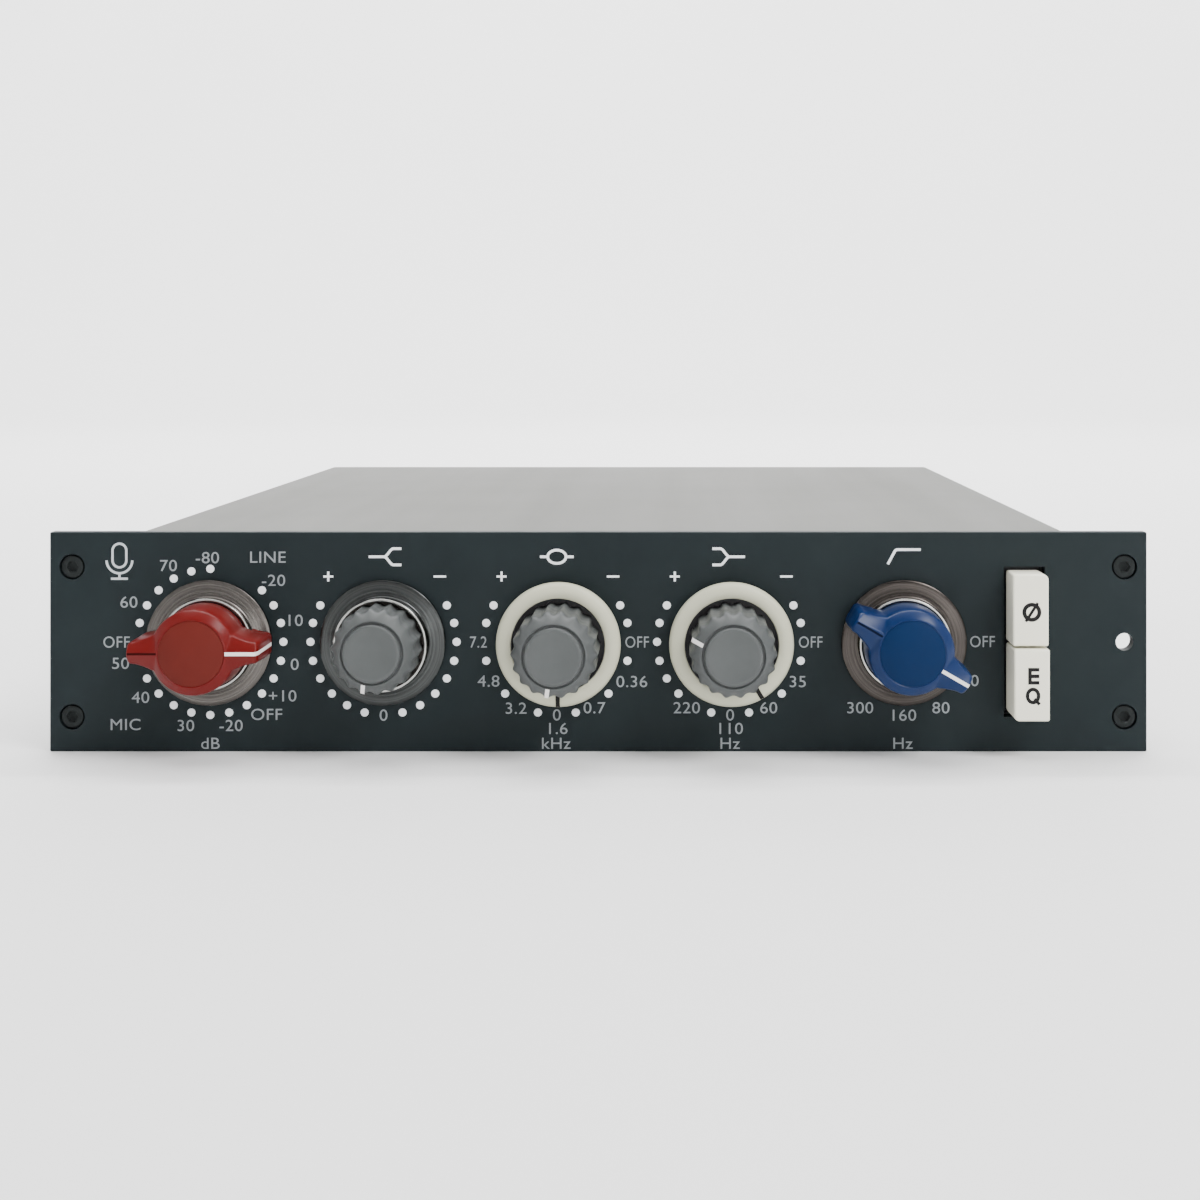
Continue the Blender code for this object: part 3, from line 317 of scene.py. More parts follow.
CAD_MATERIALS = {
    "front_panel": PAINT, "top_cover": CASE, "bottom_cover": CASE,
    "switch_frame": STEEL, "left_side_rail": STEEL, "right_side_rail": STEEL, "rear_panel": STEEL,
    "rear_connector": BLACK_PLASTIC_AND_SHADE, "rear_connector_contacts": BRASS,
    "gain_switch": STEEL, "hf_pot": BLACK_PLASTIC_AND_SHADE, "mid_switch": STEEL, "lf_switch": STEEL,
    "filter_switch": STEEL, "push_switch_bank": BLACK_PLASTIC_AND_SHADE,
    "gain_shaft": STEEL, "hf_shaft": STEEL, "filter_shaft": STEEL,
    "mid_gain_shaft": STEEL, "lf_gain_shaft": STEEL,
    "mid_frequency_tube": STEEL, "lf_frequency_tube": STEEL,
    "phase_button_plunger": BLACK_PLASTIC_AND_SHADE, "eq_button_plunger": BLACK_PLASTIC_AND_SHADE,
    "main_board": BOARD, "amplifier_card_1": BOARD, "amplifier_card_2": BOARD,
    "mic_transformer": CAN, "line_transformer": CAN, "output_transformer": CORE,
    "filter_inductor_1": CORE, "filter_inductor_2": CORE, "electrolytic_capacitor": SLEEVE,
    "heat_sink": BLACK_STEEL, "output_transistor": CAN, "wiring_loom": RUBBER,
}


def dress_cad_nodes():
    for name, material in CAD_MATERIALS.items():
        mesh = frame["nodes"][name].data
        mesh.materials.clear()
        mesh.materials.append(material)


# ---------------------------------------------------------------- shape helpers

def piece(name, bm, material, body, where=FACE, stands_for=(), angle=35, edge=0.0):
    """A finished piece: normals out, smooth but for its edges, riding on its body."""
    bmesh.ops.recalc_face_normals(bm, faces=bm.faces)
    mesh = bpy.data.meshes.new(name)
    bm.to_mesh(mesh)
    bm.free()
    mesh.materials.append(material)
    mesh.shade_smooth()
    mesh.set_sharp_from_angle(angle=math.radians(angle))
    made = bpy.data.objects.new(name, mesh)
    bpy.context.collection.objects.link(made)
    made.matrix_world = where
    if edge:
        rounding = made.modifiers.new("rounded edges", "BEVEL")
        rounding.width = edge
        rounding.segments = 3
        rounding.limit_method = "ANGLE"
        rounding.angle_limit = math.radians(40)
    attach(made, body)
    if stands_for:
        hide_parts(*stands_for)
    return made


def loft(bm, rings, closed=False):
    """Skin a row of equal rings; the ends are capped, or joined when the row is closed."""
    rows = [[bm.verts.new(point) for point in ring] for ring in rings]
    pairs = list(zip(rows, rows[1:]))
    if closed:
        pairs.append((rows[-1], rows[0]))
    for low, high in pairs:
        count = len(low)
        for i in range(count):
            j = (i + 1) % count
            bm.faces.new((low[i], low[j], high[j], high[i]))
    if not closed:
        bm.faces.new(rows[0])
        bm.faces.new(rows[-1])


def circle(radius, height, segments, centre=(0, 0)):
    """A ring of points round the h axis, or round another centre."""
    step = math.tau / segments
    return [
        (centre[0] + radius * math.cos(i * step), centre[1] + radius * math.sin(i * step), height)
        for i in range(segments)
    ]


def turned(bm, profile, segments=128, centre=(0, 0), closed=False):
    """A body of revolution from radius and height pairs; a closed profile makes a ring."""
    loft(bm, [circle(radius, height, segments, centre) for radius, height in profile], closed)


def rounded(profile, corners, steps=5):
    """A profile with arcs in place of the numbered corners; corners maps a place to a radius."""
    points = [Vector(point) for point in profile]
    count = len(points)
    result = []
    for i, point in enumerate(points):
        reach = corners.get(i, 0)
        if not reach:
            result.append(point)
            continue
        before = point + (points[i - 1] - point).normalized() * reach
        after = point + (points[(i + 1) % count] - point).normalized() * reach
        for k in range(steps + 1):
            t = k / steps
            result.append((1 - t) ** 2 * before + 2 * t * (1 - t) * point + t * t * after)
    return [tuple(point) for point in result]


def box(bm, low, high):
    size = Vector(high) - Vector(low)
    middle = (Vector(high) + Vector(low)) / 2
    placed = Matrix.Translation(middle) @ Matrix.Diagonal((*size, 1.0))
    bmesh.ops.create_cube(bm, size=1.0, matrix=placed)


def inlay(bm, route, width, thickness=0.06 * MM):
    """A painted bar over +y: route is (y, h) pairs, and the bar keeps its thickness round bends."""
    half = width / 2
    points = [Vector(point) for point in route]
    rings = []
    for i, point in enumerate(points):
        along = (points[min(i + 1, len(points) - 1)] - points[max(i - 1, 0)]).normalized()
        out = Vector((-along.y, along.x)) * thickness
        low = point - out
        high = point + out
        rings.append([(-half, *low), (half, *low), (half, *high), (-half, *high)])
    loft(bm, rings)


def inner_circle(outline, radius, height):
    """The points of an outline drawn in towards the axis."""
    ring = []
    for x, y, _ in outline:
        reach = math.hypot(x, y)
        ring.append((x / reach * radius, y / reach * radius, height))
    return ring


# ---------------------------------------------------------------- knobs

def winged_outline(height, body_radius, reach, tip_half_width, root_half_width):
    """A round body with two opposite wings along y that taper to blunt tips."""
    flank_steps = 12
    corner_steps = 5
    arc_steps = 26
    root = Vector((math.sqrt(body_radius ** 2 - root_half_width ** 2), root_half_width))
    corner = 0.45 * tip_half_width
    flank = []
    for i in range(flank_steps + 1):
        t = i / flank_steps
        width = root_half_width + (tip_half_width - root_half_width) * (1 - (1 - t) ** 1.5)
        flank.append(Vector((root.x + (reach - corner - root.x) * t, width)))
    for i in range(1, corner_steps + 1):
        angle = math.pi / 2 * (1 - i / corner_steps)
        flank.append(Vector((reach - corner + corner * math.cos(angle),
                             tip_half_width - corner + corner * math.sin(angle))))
    wing = [Vector((point.x, -point.y)) for point in flank] + list(reversed(flank))
    start = math.atan2(root.y, root.x)
    arc = []
    for i in range(1, arc_steps):
        angle = start + (math.pi - 2 * start) * i / arc_steps
        arc.append(Vector((body_radius * math.cos(angle), body_radius * math.sin(angle))))
    half = wing + arc
    whole = half + [-point for point in half]
    return [(-point.y, point.x, height) for point in whole]


def winged_cap(prefix, joint, side, crown_material, ridge_shade):
    """Pointer knob: a round body, roofed wings, a white line over one wing's ridge, and painted shade: a
    darker strip along the other wing's ridge.
    """
    crown = WINGED_HEIGHT
    # Millimetres: height, body radius, reach, half width of the tip, half width at the body.
    table = (
        (4.30, 8.52, 12.85, 2.36, 3.82),
        (4.45, 8.60, 12.88, 2.38, 3.84),
        (7.40, 8.54, 12.86, 2.30, 3.76),
        (10.5, 8.47, 12.83, 2.22, 3.66),
        (13.40, 8.38, 12.80, 2.12, 3.56),
        (13.70, 8.28, 12.76, 2.02, 3.46),
        (13.92, 8.08, 12.71, 1.80, 3.20),
        (14.70, 7.12, 12.60, 0.58, 0.98),
        (14.86, 6.90, 12.55, 0.36, 0.64),
        (14.96, 6.76, 12.48, 0.25, 0.46),
    )
    sections = [winged_outline(*(value * MM for value in row)) for row in table]
    ridge = inner_circle(sections[-1], 6.55 * MM, crown)
    disc = 6.35 * MM
    bm = bmesh.new()
    loft(bm, [
        inner_circle(sections[0], 5.0 * MM, CAP_UNDERSIDE),
        *sections,
        ridge,
        inner_circle(ridge, disc + 0.04 * MM, crown - 0.12 * MM),
        inner_circle(ridge, disc - 0.3 * MM, crown - 0.12 * MM),
    ])
    body = f"{prefix}_knob"
    where = knob_place(joint)
    piece(f"{prefix}_cap", bm, side, body, where, [f"{prefix}_knob_cap"])
    bm = bmesh.new()
    turned(bm, [(disc, crown - 0.11 * MM), (disc, crown - 0.06 * MM), (disc - 0.06 * MM, crown)])
    piece(f"{prefix}_crown", bm, crown_material, body, where, angle=60)
    bm = bmesh.new()
    plug = WINGED_BOSS[0] - 1.3 * MM
    turned(bm, [(plug, WELL_FLOOR + 0.3 * MM), (plug, CAP_UNDERSIDE + 0.15 * MM)], 96)
    for wing in (-1, 1):
        wing_foot(bm, wing)
    piece(f"{prefix}_cap_foot", bm, side, body, where)
    bm = bmesh.new()
    inlay(bm, [(6.6 * MM, crown), (12.36 * MM, crown), (12.48 * MM, crown - 0.10 * MM),
               (12.58 * MM, crown - 0.30 * MM), (12.74 * MM, 13.85 * MM), (12.82 * MM, 13.4 * MM),
               (12.90 * MM, 2.6 * MM)], 0.72 * MM)
    piece(f"{prefix}_pointer", bm, POINTER, body, where, angle=50)
    # Painted shade: a strip in a darker copy of the knob's colour, laid along the tail wing's ridge.
    bm = bmesh.new()
    inlay(bm, [(-12.36 * MM, crown), (-6.75 * MM, crown)], 0.42 * MM, 0.03 * MM)
    piece(f"{prefix}_tail_ridge_shade", bm, ridge_shade, body, where)


def wing_foot(bm, side):
    """The part of a wing that reaches down beyond the boss, along +y or -y."""
    outline = winged_outline(0, 8.55 * MM, 12.88 * MM, 2.38 * MM, 3.84 * MM)
    inner = WINGED_BOSS[0] + 0.45 * MM
    tip = [Vector((x, y)) for x, y, _ in outline if side * y > 0 and math.hypot(x, y) > inner + 0.1 * MM]
    tip.sort(key=lambda point: point.x)
    edge = abs(tip[0].x)
    start = math.asin(edge / inner)
    back = []
    for i in range(13):
        angle = start * (1 - i / 6)
        back.append(Vector((inner * math.sin(angle), side * inner * math.cos(angle))))
    points = tip + back
    loft(bm, [[(*point, height) for point in points] for height in (WING_FOOT, CAP_UNDERSIDE + 0.15 * MM)])


def skirt(prefix, joint, material, boss, well=BLACK_PLASTIC_AND_SHADE):
    """Turned disc with a raised wall round a well lined in the given colour; the default black lining is
    painted shade in the recess. The wall's lip is polished bright.
    """
    radius, height = boss
    lip = LIP_WIDTH
    where = knob_place(joint)
    body = f"{prefix}_knob"
    bm = bmesh.new()
    profile = rounded([
        (BORE, SKIRT_LIFT),
        (SKIRT_RADIUS, SKIRT_LIFT),
        (SKIRT_RADIUS, 1.45 * MM),
        (SKIRT_RADIUS - 0.5 * MM, 1.7 * MM),
        (radius + 0.3 * MM, 1.9 * MM),
        (radius - 0.06 * MM, 2.2 * MM),
        (radius - 0.06 * MM, height - 0.2 * MM),
        (radius - lip, height - 0.2 * MM),
        (radius - lip, WELL_FLOOR - 0.1 * MM),
        (BORE, WELL_FLOOR - 0.1 * MM),
    ], {1: 0.2 * MM, 2: 0.15 * MM, 3: 0.3 * MM, 5: 0.25 * MM})
    turned(bm, profile, closed=True)
    piece(f"{prefix}_skirt", bm, material, body, where, [f"{prefix}_knob_skirt"], angle=50)
    bm = bmesh.new()
    profile = rounded([
        (radius - lip - 0.05 * MM, height - 0.9 * MM),
        (radius, height - 0.9 * MM),
        (radius, height),
        (radius - lip - 0.05 * MM, height),
    ], {1: 0.1 * MM, 2: 0.28 * MM, 3: 0.18 * MM})
    turned(bm, profile, closed=True)
    piece(f"{prefix}_skirt_lip", bm, BRIGHT_METAL, body, where, angle=50)
    # Lining of the well in the given colour; the black lining is painted shade in the recess.
    bm = bmesh.new()
    wall = radius - lip - 0.06 * MM
    turned(bm, [
        (BORE + 0.5 * MM, WELL_FLOOR - 0.05 * MM),
        (wall, WELL_FLOOR - 0.05 * MM),
        (wall, height - 0.35 * MM),
        (wall - 0.1 * MM, height - 0.35 * MM),
        (wall - 0.1 * MM, WELL_FLOOR + 0.1 * MM),
        (BORE + 0.5 * MM, WELL_FLOOR + 0.1 * MM),
    ], closed=True)
    piece(f"{prefix}_skirt_well", bm, well, body, where, angle=50)


def fluted_ring(radius, height, depth, per_flute=10):
    """A circle scalloped by finger grooves, with a rib at the pointer."""
    count = FLUTE_COUNT * per_flute
    fullness = 0.8
    ring = []
    for i in range(count):
        angle = math.tau * i / count
        swing = (1 - math.cos(FLUTE_COUNT * (angle - math.pi / 2))) / 2
        reach = radius - depth * swing ** fullness
        ring.append((reach * math.cos(angle), reach * math.sin(angle), height))
    return ring


def fluted_cap(name, joint, foot, height, body):
    """Grey knob: fluted barrel, plain sloping shoulder, and a grooved circle round the top."""
    deep = FLUTE_DEPTH
    shoulder = height - 3.1 * MM
    top = FLUTED_TOP_RADIUS
    count = len(fluted_ring(FLUTED_RADIUS, 0, 0))
    bm = bmesh.new()
    loft(bm, [
        circle(3.0 * MM, foot + 0.1 * MM, count),
        fluted_ring(FLUTED_RADIUS - 0.15 * MM, foot, deep),
        fluted_ring(FLUTED_RADIUS, foot + 0.15 * MM, deep),
        fluted_ring(FLUTED_RADIUS, shoulder - 0.7 * MM, deep),
        fluted_ring(FLUTED_RADIUS - 0.08 * MM, shoulder - 0.25 * MM, deep * 0.95),
        fluted_ring(FLUTED_RADIUS - 0.30 * MM, shoulder + 0.10 * MM, deep * 0.7),
        fluted_ring(FLUTED_RADIUS - 0.60 * MM, shoulder + 0.42 * MM, deep * 0.3),
        circle(FLUTED_RADIUS - 0.85 * MM, shoulder + 0.68 * MM, count),
        circle(top + 0.80 * MM, height - 0.95 * MM, count),
        circle(top + 0.62 * MM, height - 0.84 * MM, count),
        circle(top + 0.48 * MM, height - 0.90 * MM, count),
        circle(top + 0.30 * MM, height - 1.25 * MM, count),
        circle(top + 0.10 * MM, height - 1.25 * MM, count),
        circle(top, height - 1.00 * MM, count),
        circle(top - 0.06 * MM, height - 0.25 * MM, count),
        circle(top - 0.14 * MM, height - 0.08 * MM, count),
        circle(top - 0.30 * MM, height, count),
        circle(top - 0.85 * MM, height, count),
        circle(top - 1.05 * MM, height - 0.07 * MM, count),
    ])
    where = knob_place(joint)
    piece(f"{name}_cap", bm, GREY, body, where, [f"{name}_knob_cap"], angle=60)
    bm = bmesh.new()
    inlay(bm, [
        (top + 0.66 * MM, height - 0.86 * MM),
        (top + 0.80 * MM, height - 0.95 * MM),
        (FLUTED_RADIUS - 0.85 * MM, shoulder + 0.70 * MM),
        (FLUTED_RADIUS - 0.45 * MM, shoulder + 0.32 * MM),
        (FLUTED_RADIUS - 0.12 * MM, shoulder - 0.15 * MM),
        (FLUTED_RADIUS, shoulder - 0.9 * MM),
    ], 0.8 * MM, 0.05 * MM)
    piece(f"{name}_index", bm, POINTER, body, where, angle=60)


def selector_ring(prefix):
    """Pale outer ring of a concentric control, gently domed, with its black index line and a black lining in
    its opening, which is painted shade.
    """
    joint = f"{prefix}_frequency_turn"
    body = f"{prefix}_frequency_knob"
    where = knob_place(joint)
    bore = RING_BORE
    bm = bmesh.new()
    profile = rounded([
        (bore, SKIRT_LIFT),
        (RING_RADIUS - 0.9 * MM, SKIRT_LIFT),
        (RING_RADIUS, RING_HEIGHT - 2.0 * MM),
        (RING_RADIUS - 0.5 * MM, RING_HEIGHT - 0.75 * MM),
        (RING_OPENING + 1.2 * MM, RING_HEIGHT),
        (RING_OPENING, RING_HEIGHT - 0.35 * MM),
        (RING_OPENING, RING_FLOOR),
        (bore, RING_FLOOR),
    ], {1: 0.2 * MM, 2: 0.7 * MM, 3: 0.6 * MM, 4: 1.0 * MM, 5: 0.2 * MM}, 8)
    turned(bm, profile, closed=True)
    piece(f"{prefix}_ring", bm, RING, body, where, [f"{prefix}_frequency_ring"], angle=50)
    # Painted shade: a black lining in the ring's opening darkens the gap round the middle knob.
    wall = RING_OPENING - 0.02 * MM
    bm = bmesh.new()
    turned(bm, [
        (bore + 0.3 * MM, RING_FLOOR + 0.02 * MM),
        (wall, RING_FLOOR + 0.02 * MM),
        (wall, RING_HEIGHT - 0.65 * MM),
        (wall - 0.12 * MM, RING_HEIGHT - 0.65 * MM),
        (wall - 0.12 * MM, RING_FLOOR + 0.14 * MM),
        (bore + 0.3 * MM, RING_FLOOR + 0.14 * MM),
    ], closed=True)
    piece(f"{prefix}_ring_well_shade", bm, BLACK_PLASTIC_AND_SHADE, body, where, angle=50)
    bm = bmesh.new()
    inlay(bm, [
        (RING_OPENING + 0.2 * MM, RING_HEIGHT - 0.32 * MM),
        (RING_OPENING + 0.7 * MM, RING_HEIGHT - 0.15 * MM),
        (RING_OPENING + 1.2 * MM, RING_HEIGHT - 0.10 * MM),
        (RING_OPENING + 1.8 * MM, RING_HEIGHT - 0.30 * MM),
        (RING_RADIUS - 0.70 * MM, RING_HEIGHT - 0.66 * MM),
        (RING_RADIUS - 0.35 * MM, RING_HEIGHT - 1.15 * MM),
    ], 0.85 * MM, 0.07 * MM)
    piece(f"{prefix}_ring_index", bm, INK, body, where)


def knobs():
    skirt("gain", "gain_turn", WARM_METAL, WINGED_BOSS)
    winged_cap("gain", "gain_turn", RED, RED_CROWN, RED_RIDGE_SHADE)
    skirt("hf", "hf_turn", DARK_METAL, HF_BOSS, BRONZED_METAL)
    fluted_cap("hf", "hf_turn", WELL_FLOOR + 0.3 * MM, HF_HEIGHT, "hf_knob")
    for prefix in ("mid", "lf"):
        selector_ring(prefix)
        name = f"{prefix}_gain"
        fluted_cap(name, f"{name}_turn", RING_FLOOR + 0.6 * MM, CONCENTRIC_HEIGHT, f"{name}_knob")
    skirt("filter", "filter_turn", BRONZED_METAL, WINGED_BOSS)
    winged_cap("filter", "filter_turn", BLUE, BLUE_CROWN, BLUE_RIDGE_SHADE)


# ---------------------------------------------------------------- printing

def add_text(bm, words, x, y, width=1.0):
    """Lettering centred on a point of the panel, standing just proud of it."""
    curve = bpy.data.curves.new("lettering", "FONT")
    curve.body = words
    curve.size = CAP_HEIGHT / CAP_SHARE
    curve.align_x = "CENTER"
    curve.extrude = PRINT_THICKNESS / 2
    curve.space_character = 1.05
    curve.resolution_u = 6
    text = bpy.data.objects.new("lettering", curve)
    bpy.context.collection.objects.link(text)
    bpy.context.view_layer.update()
    ready = text.evaluated_get(bpy.context.evaluated_depsgraph_get())
    mesh = bpy.data.meshes.new_from_object(ready)
    bpy.data.objects.remove(text)
    bpy.data.curves.remove(curve)
    place = Matrix.Translation((x, y - CAP_HEIGHT / 2, PRINT_THICKNESS / 2))
    mesh.transform(place @ Matrix.Diagonal((LETTER_WIDTH * width, 1, 1, 1)))
    bm.from_mesh(mesh)
    bpy.data.meshes.remove(mesh)


def clock_point(x, radius, clock):
    """A point round a scale's middle, at a clock angle in degrees."""
    angle = math.radians(clock)
    return x + radius * math.sin(angle), radius * math.cos(angle)


def add_dot(bm, x, y):
    top = PRINT_THICKNESS * 1.6
    turned(bm, [(DOT_RADIUS, 0), (DOT_RADIUS * 0.97, top * 0.8), (DOT_RADIUS * 0.85, top)], 28, (x, y))


def scale_dots():
    """The rings of dots round the first four controls; some places hold words instead."""
    full = set(range(0, 360, DOT_STEP))
    swept = set(range(60, 301, DOT_STEP))
    rings = {
        "gain_turn": full - {15, 30, 270},
        "hf_turn": swept - {180},
        "mid_gain_turn": swept - {90, 120, 150, 180, 210, 240, 270},
        "lf_gain_turn": swept - {90, 120, 150, 180, 210},
    }
    bm = bmesh.new()
    for joint, clocks in rings.items():
        for clock in sorted(clocks):
            add_dot(bm, *clock_point(scale_x(joint), DOT_RING_RADIUS, clock))
    piece("scale_dots", bm, PRINT, "chassis")


# Words round each control: text, millimetres right of and above the scale's middle, and the
# share of the usual width where the words are set narrow.
LABELS = {
    "gain_turn": (
        ("-80", -0.6, 17.0), ("70", -8.5, 15.4), ("60", -16.5, 8.0), ("OFF", -19.0, -0.1, 0.85),
        ("50", -18.2, -4.4), ("40", -14.1, -11.3), ("30", -5.0, -17.0), ("-20", 4.2, -17.0),
        ("dB", 0.0, -20.6), ("MIC", -17.2, -16.8), ("LINE", 11.6, 17.1), ("-20", 12.8, 12.4),
        ("10", 17.0, 4.3), ("0", 17.1, -4.6), ("+10", 14.6, -11.0), ("OFF", 11.4, -14.75),
    ),
    "hf_turn": (("0", 0.0, -14.9),),
    "mid_gain_turn": (
        ("0", 0.0, -14.85), ("7.2", -15.9, -0.1, 0.8), ("4.8", -13.8, -8.0), ("3.2", -8.3, -13.5),
        ("1.6", 0.0, -17.6), ("0.7", 7.6, -13.4), ("0.36", 15.2, -8.1), ("OFF", 16.25, -0.1, 0.76),
        ("kHz", -0.2, -20.6),
    ),
    "lf_gain_turn": (
        ("0", 0.0, -14.85), ("220", -8.8, -13.4), ("110", -0.1, -17.6), ("60", 7.8, -13.4),
        ("35", 13.7, -8.1), ("OFF", 16.3, -0.1, 0.76), ("Hz", -0.1, -20.6),
    ),
    "filter_turn": (
        ("OFF", 16.0, 0.0, 0.80), ("50", 13.5, -7.9), ("80", 7.6, -13.4), ("160", -0.1, -14.9),
        ("300", -8.8, -13.4), ("Hz", -0.2, -20.6),
    ),
}


def lettering():
    bm = bmesh.new()
    for joint, words in LABELS.items():
        for text, right, above, *width in words:
            add_text(bm, text, scale_x(joint) + right * MM, above * MM, *width)
    piece("panel_lettering", bm, LETTER, "chassis", angle=20)


def ribbon(bm, points, width=LINE_WIDTH, base=0.0, rise=PRINT_THICKNESS, closed=False):
    """A printed line of even width along a path, mitred at its bends."""
    points = [Vector(point) for point in points]
    count = len(points)
    rings = []
    for i, point in enumerate(points):
        coming = point - points[i - 1] if i or closed else points[1] - point
        going = points[(i + 1) % count] - point if i < count - 1 or closed else coming
        coming = coming.normalized()
        going = going.normalized()
        along = (coming + going).normalized()
        mitre = max(math.sqrt((1 + coming.dot(going)) / 2), 0.5)
        side = Vector((-along.y, along.x)) * (width / 2 / mitre)
        left = point + side
        right = point - side
        rings.append([(*left, base), (*right, base), (*right, base + rise), (*left, base + rise)])
    loft(bm, rings, closed)


def arc(centre, radius, start, end, steps=18):
    """Points along an arc; angles in degrees, anticlockwise from the right."""
    points = []
    for i in range(steps + 1):
        angle = math.radians(start + (end - start) * i / steps)
        points.append((centre[0] + radius * math.cos(angle), centre[1] + radius * math.sin(angle)))
    return points


def shelf_symbol(bm, x, y, side):
    """A line that parts into two level branches."""
    spread = 1.65 * MM
    ribbon(bm, [(x - side * 3.0 * MM, y), (x + side * 0.35 * MM, y)])
    for up in (-1, 1):
        branch = []
        for i in range(13):
            t = i / 12
            rise = up * spread * t * t * (3 - 2 * t)
            branch.append((x + side * (0.1 + 1.9 * t) * MM, y + rise))
        branch.append((x + side * 3.6 * MM, y + up * spread))
        ribbon(bm, branch, rise=PRINT_THICKNESS * (1.2 + 0.1 * up))


def bell_symbol(bm, x, y):
    """A line that opens into a lens and closes again."""
    lens = []
    steps = 48
    for i in range(steps):
        angle = math.tau * i / steps
        lens.append((x + 1.85 * MM * math.cos(angle), y + 1.35 * MM * math.sin(angle)))
    ribbon(bm, lens, closed=True)
    for side in (-1, 1):
        ribbon(bm, [(x + side * 3.4 * MM, y), (x + side * 2.0 * MM, y)], rise=PRINT_THICKNESS * 1.2)


def curve_symbols():
    """Outlines of what each control does to the response, over its knob, and its plus and minus."""
    height = CURVE_LEVEL
    level = SIGN_LEVEL
    arm = 1.0 * MM
    bm = bmesh.new()
    shelf_symbol(bm, scale_x("hf_turn"), height, 1)
    bell_symbol(bm, scale_x("mid_gain_turn"), height)
    shelf_symbol(bm, scale_x("lf_gain_turn"), height, -1)
    x = scale_x("filter_turn")
    knee = arc((x - 1.15 * MM, height + 0.75 * MM), 0.7 * MM, 155, 90, 6)
    ribbon(bm, [(x - 3.15 * MM, height - 1.5 * MM), *knee, (x + 3.5 * MM, height + 1.45 * MM)])
    for joint in ("hf_turn", "mid_gain_turn", "lf_gain_turn"):
        left = scale_x(joint) - 11.2 * MM
        right = scale_x(joint) + 11.4 * MM
        ribbon(bm, [(left - arm, level), (left + arm, level)], SIGN_WIDTH)
        ribbon(bm, [(left, level - arm), (left, level + arm)], SIGN_WIDTH, rise=PRINT_THICKNESS * 1.2)
        ribbon(bm, [(right - 1.25 * MM, level), (right + 1.25 * MM, level)], SIGN_WIDTH)
    piece("curve_symbols", bm, PRINT, "chassis", angle=20)


def microphone_symbol():
    """A plain microphone in outline in the panel's upper left corner."""
    x = -97.0 * MM
    y = 16.9 * MM
    width = 0.45 * MM
    radius = 1.4 * MM
    low = y - 0.4 * MM
    foot = y - 4.1 * MM
    bm = bmesh.new()
    capsule = arc((x, y + 1.6 * MM), radius, 0, 180) + arc((x, low), radius, 180, 360)
    ribbon(bm, capsule, width, closed=True)
    ribbon(bm, arc((x, low), 2.6 * MM, 180, 360), width)
    ribbon(bm, [(x, y - 2.9 * MM), (x, foot)], width, rise=PRINT_THICKNESS * 1.2)
    ribbon(bm, [(x - 1.7 * MM, foot), (x + 1.7 * MM, foot)], width, rise=PRINT_THICKNESS * 1.4)
    piece("microphone_symbol", bm, SYMBOL, "chassis", angle=20)


# ---------------------------------------------------------------- buttons

def button(prefix, symbol, chamfered):
    """Ivory bar with softened edges, one corner cut back, and a black sign on its face."""
    low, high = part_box(f"{prefix}_button_cap")
    body = f"{prefix}_button"
    half_x = (high.x - low.x) / 2
    half_y = (high.z - low.z) / 2
    reach = FRONT_Y - low.y
    back = FRONT_Y - high.y
    centre_x = (low.x + high.x) / 2
    centre_y = (low.z + high.z) / 2 - MIDDLE_Z
    where = FACE @ Matrix.Translation((centre_x, centre_y, 0))
    bm = bmesh.new()
    box(bm, (-half_x, -half_y, back), (half_x, half_y, reach))
    for edge in bm.edges:
        middle = (edge.verts[0].co + edge.verts[1].co) / 2
        if (middle - Vector((chamfered * half_x, chamfered * half_y, middle.z))).length < 0.1 * MM:
            corner = edge
    bmesh.ops.bevel(bm, geom=[corner], offset=BUTTON_CORNER, segments=1, affect="EDGES")
    piece(f"{prefix}_cap", bm, IVORY, body, where, [f"{prefix}_button_cap"], edge=BUTTON_EDGE)
    bm = bmesh.new()
    symbol(bm, reach)
    piece(f"{prefix}_sign", bm, INK, body, where, angle=20)


def phase_sign(bm, reach):
    """A ring with a stroke through it."""
    centre = Vector((0.15 * MM, -0.35 * MM))
    lean = math.radians(33)
    ribbon(bm, arc(centre, 1.5 * MM, 0, 350, 35), 0.78 * MM, reach, closed=True)
    slant = Vector((math.sin(lean), math.cos(lean))) * 2.2 * MM
    ribbon(bm, [centre - slant, centre + slant], 0.55 * MM, reach, PRINT_THICKNESS * 1.3)


def eq_sign(bm, reach):
    """The letters E and Q, one over the other."""
    line = 0.7 * MM
    spine = -0.45 * MM
    end = 1.4 * MM
    middle = 1.85 * MM
    half = 1.3 * MM
    ribbon(bm, [(spine, middle - half - line / 2), (spine, middle + half + line / 2)], line, reach)
    for step in (-1, 0, 1):
        arm = middle + step * half
        ribbon(bm, [(spine, arm), (end, arm)], line, reach, PRINT_THICKNESS * (1.3 + 0.1 * step))
    bowl = []
    for angle in range(0, 360, 10):
        turn = math.radians(angle)
        bowl.append((0.15 * MM + 1.1 * MM * math.cos(turn), -2.05 * MM + 1.3 * MM * math.sin(turn)))
    ribbon(bm, bowl, line, reach, closed=True)
    ribbon(bm, [(0.45 * MM, -2.65 * MM), (1.45 * MM, -3.75 * MM)], line * 0.9, reach, PRINT_THICKNESS * 1.3)


def buttons():
    button("phase", phase_sign, 1)
    button("eq", eq_sign, -1)


# ---------------------------------------------------------------- screws and the rear

def hexagon(across_flats, height, segments):
    ring = []
    for i in range(segments):
        angle = math.tau * i / segments
        off_flat = (angle % (math.tau / 6)) - math.tau / 12
        radius = across_flats / 2 / math.cos(off_flat)
        ring.append((radius * math.cos(angle), radius * math.sin(angle), height))
    return ring


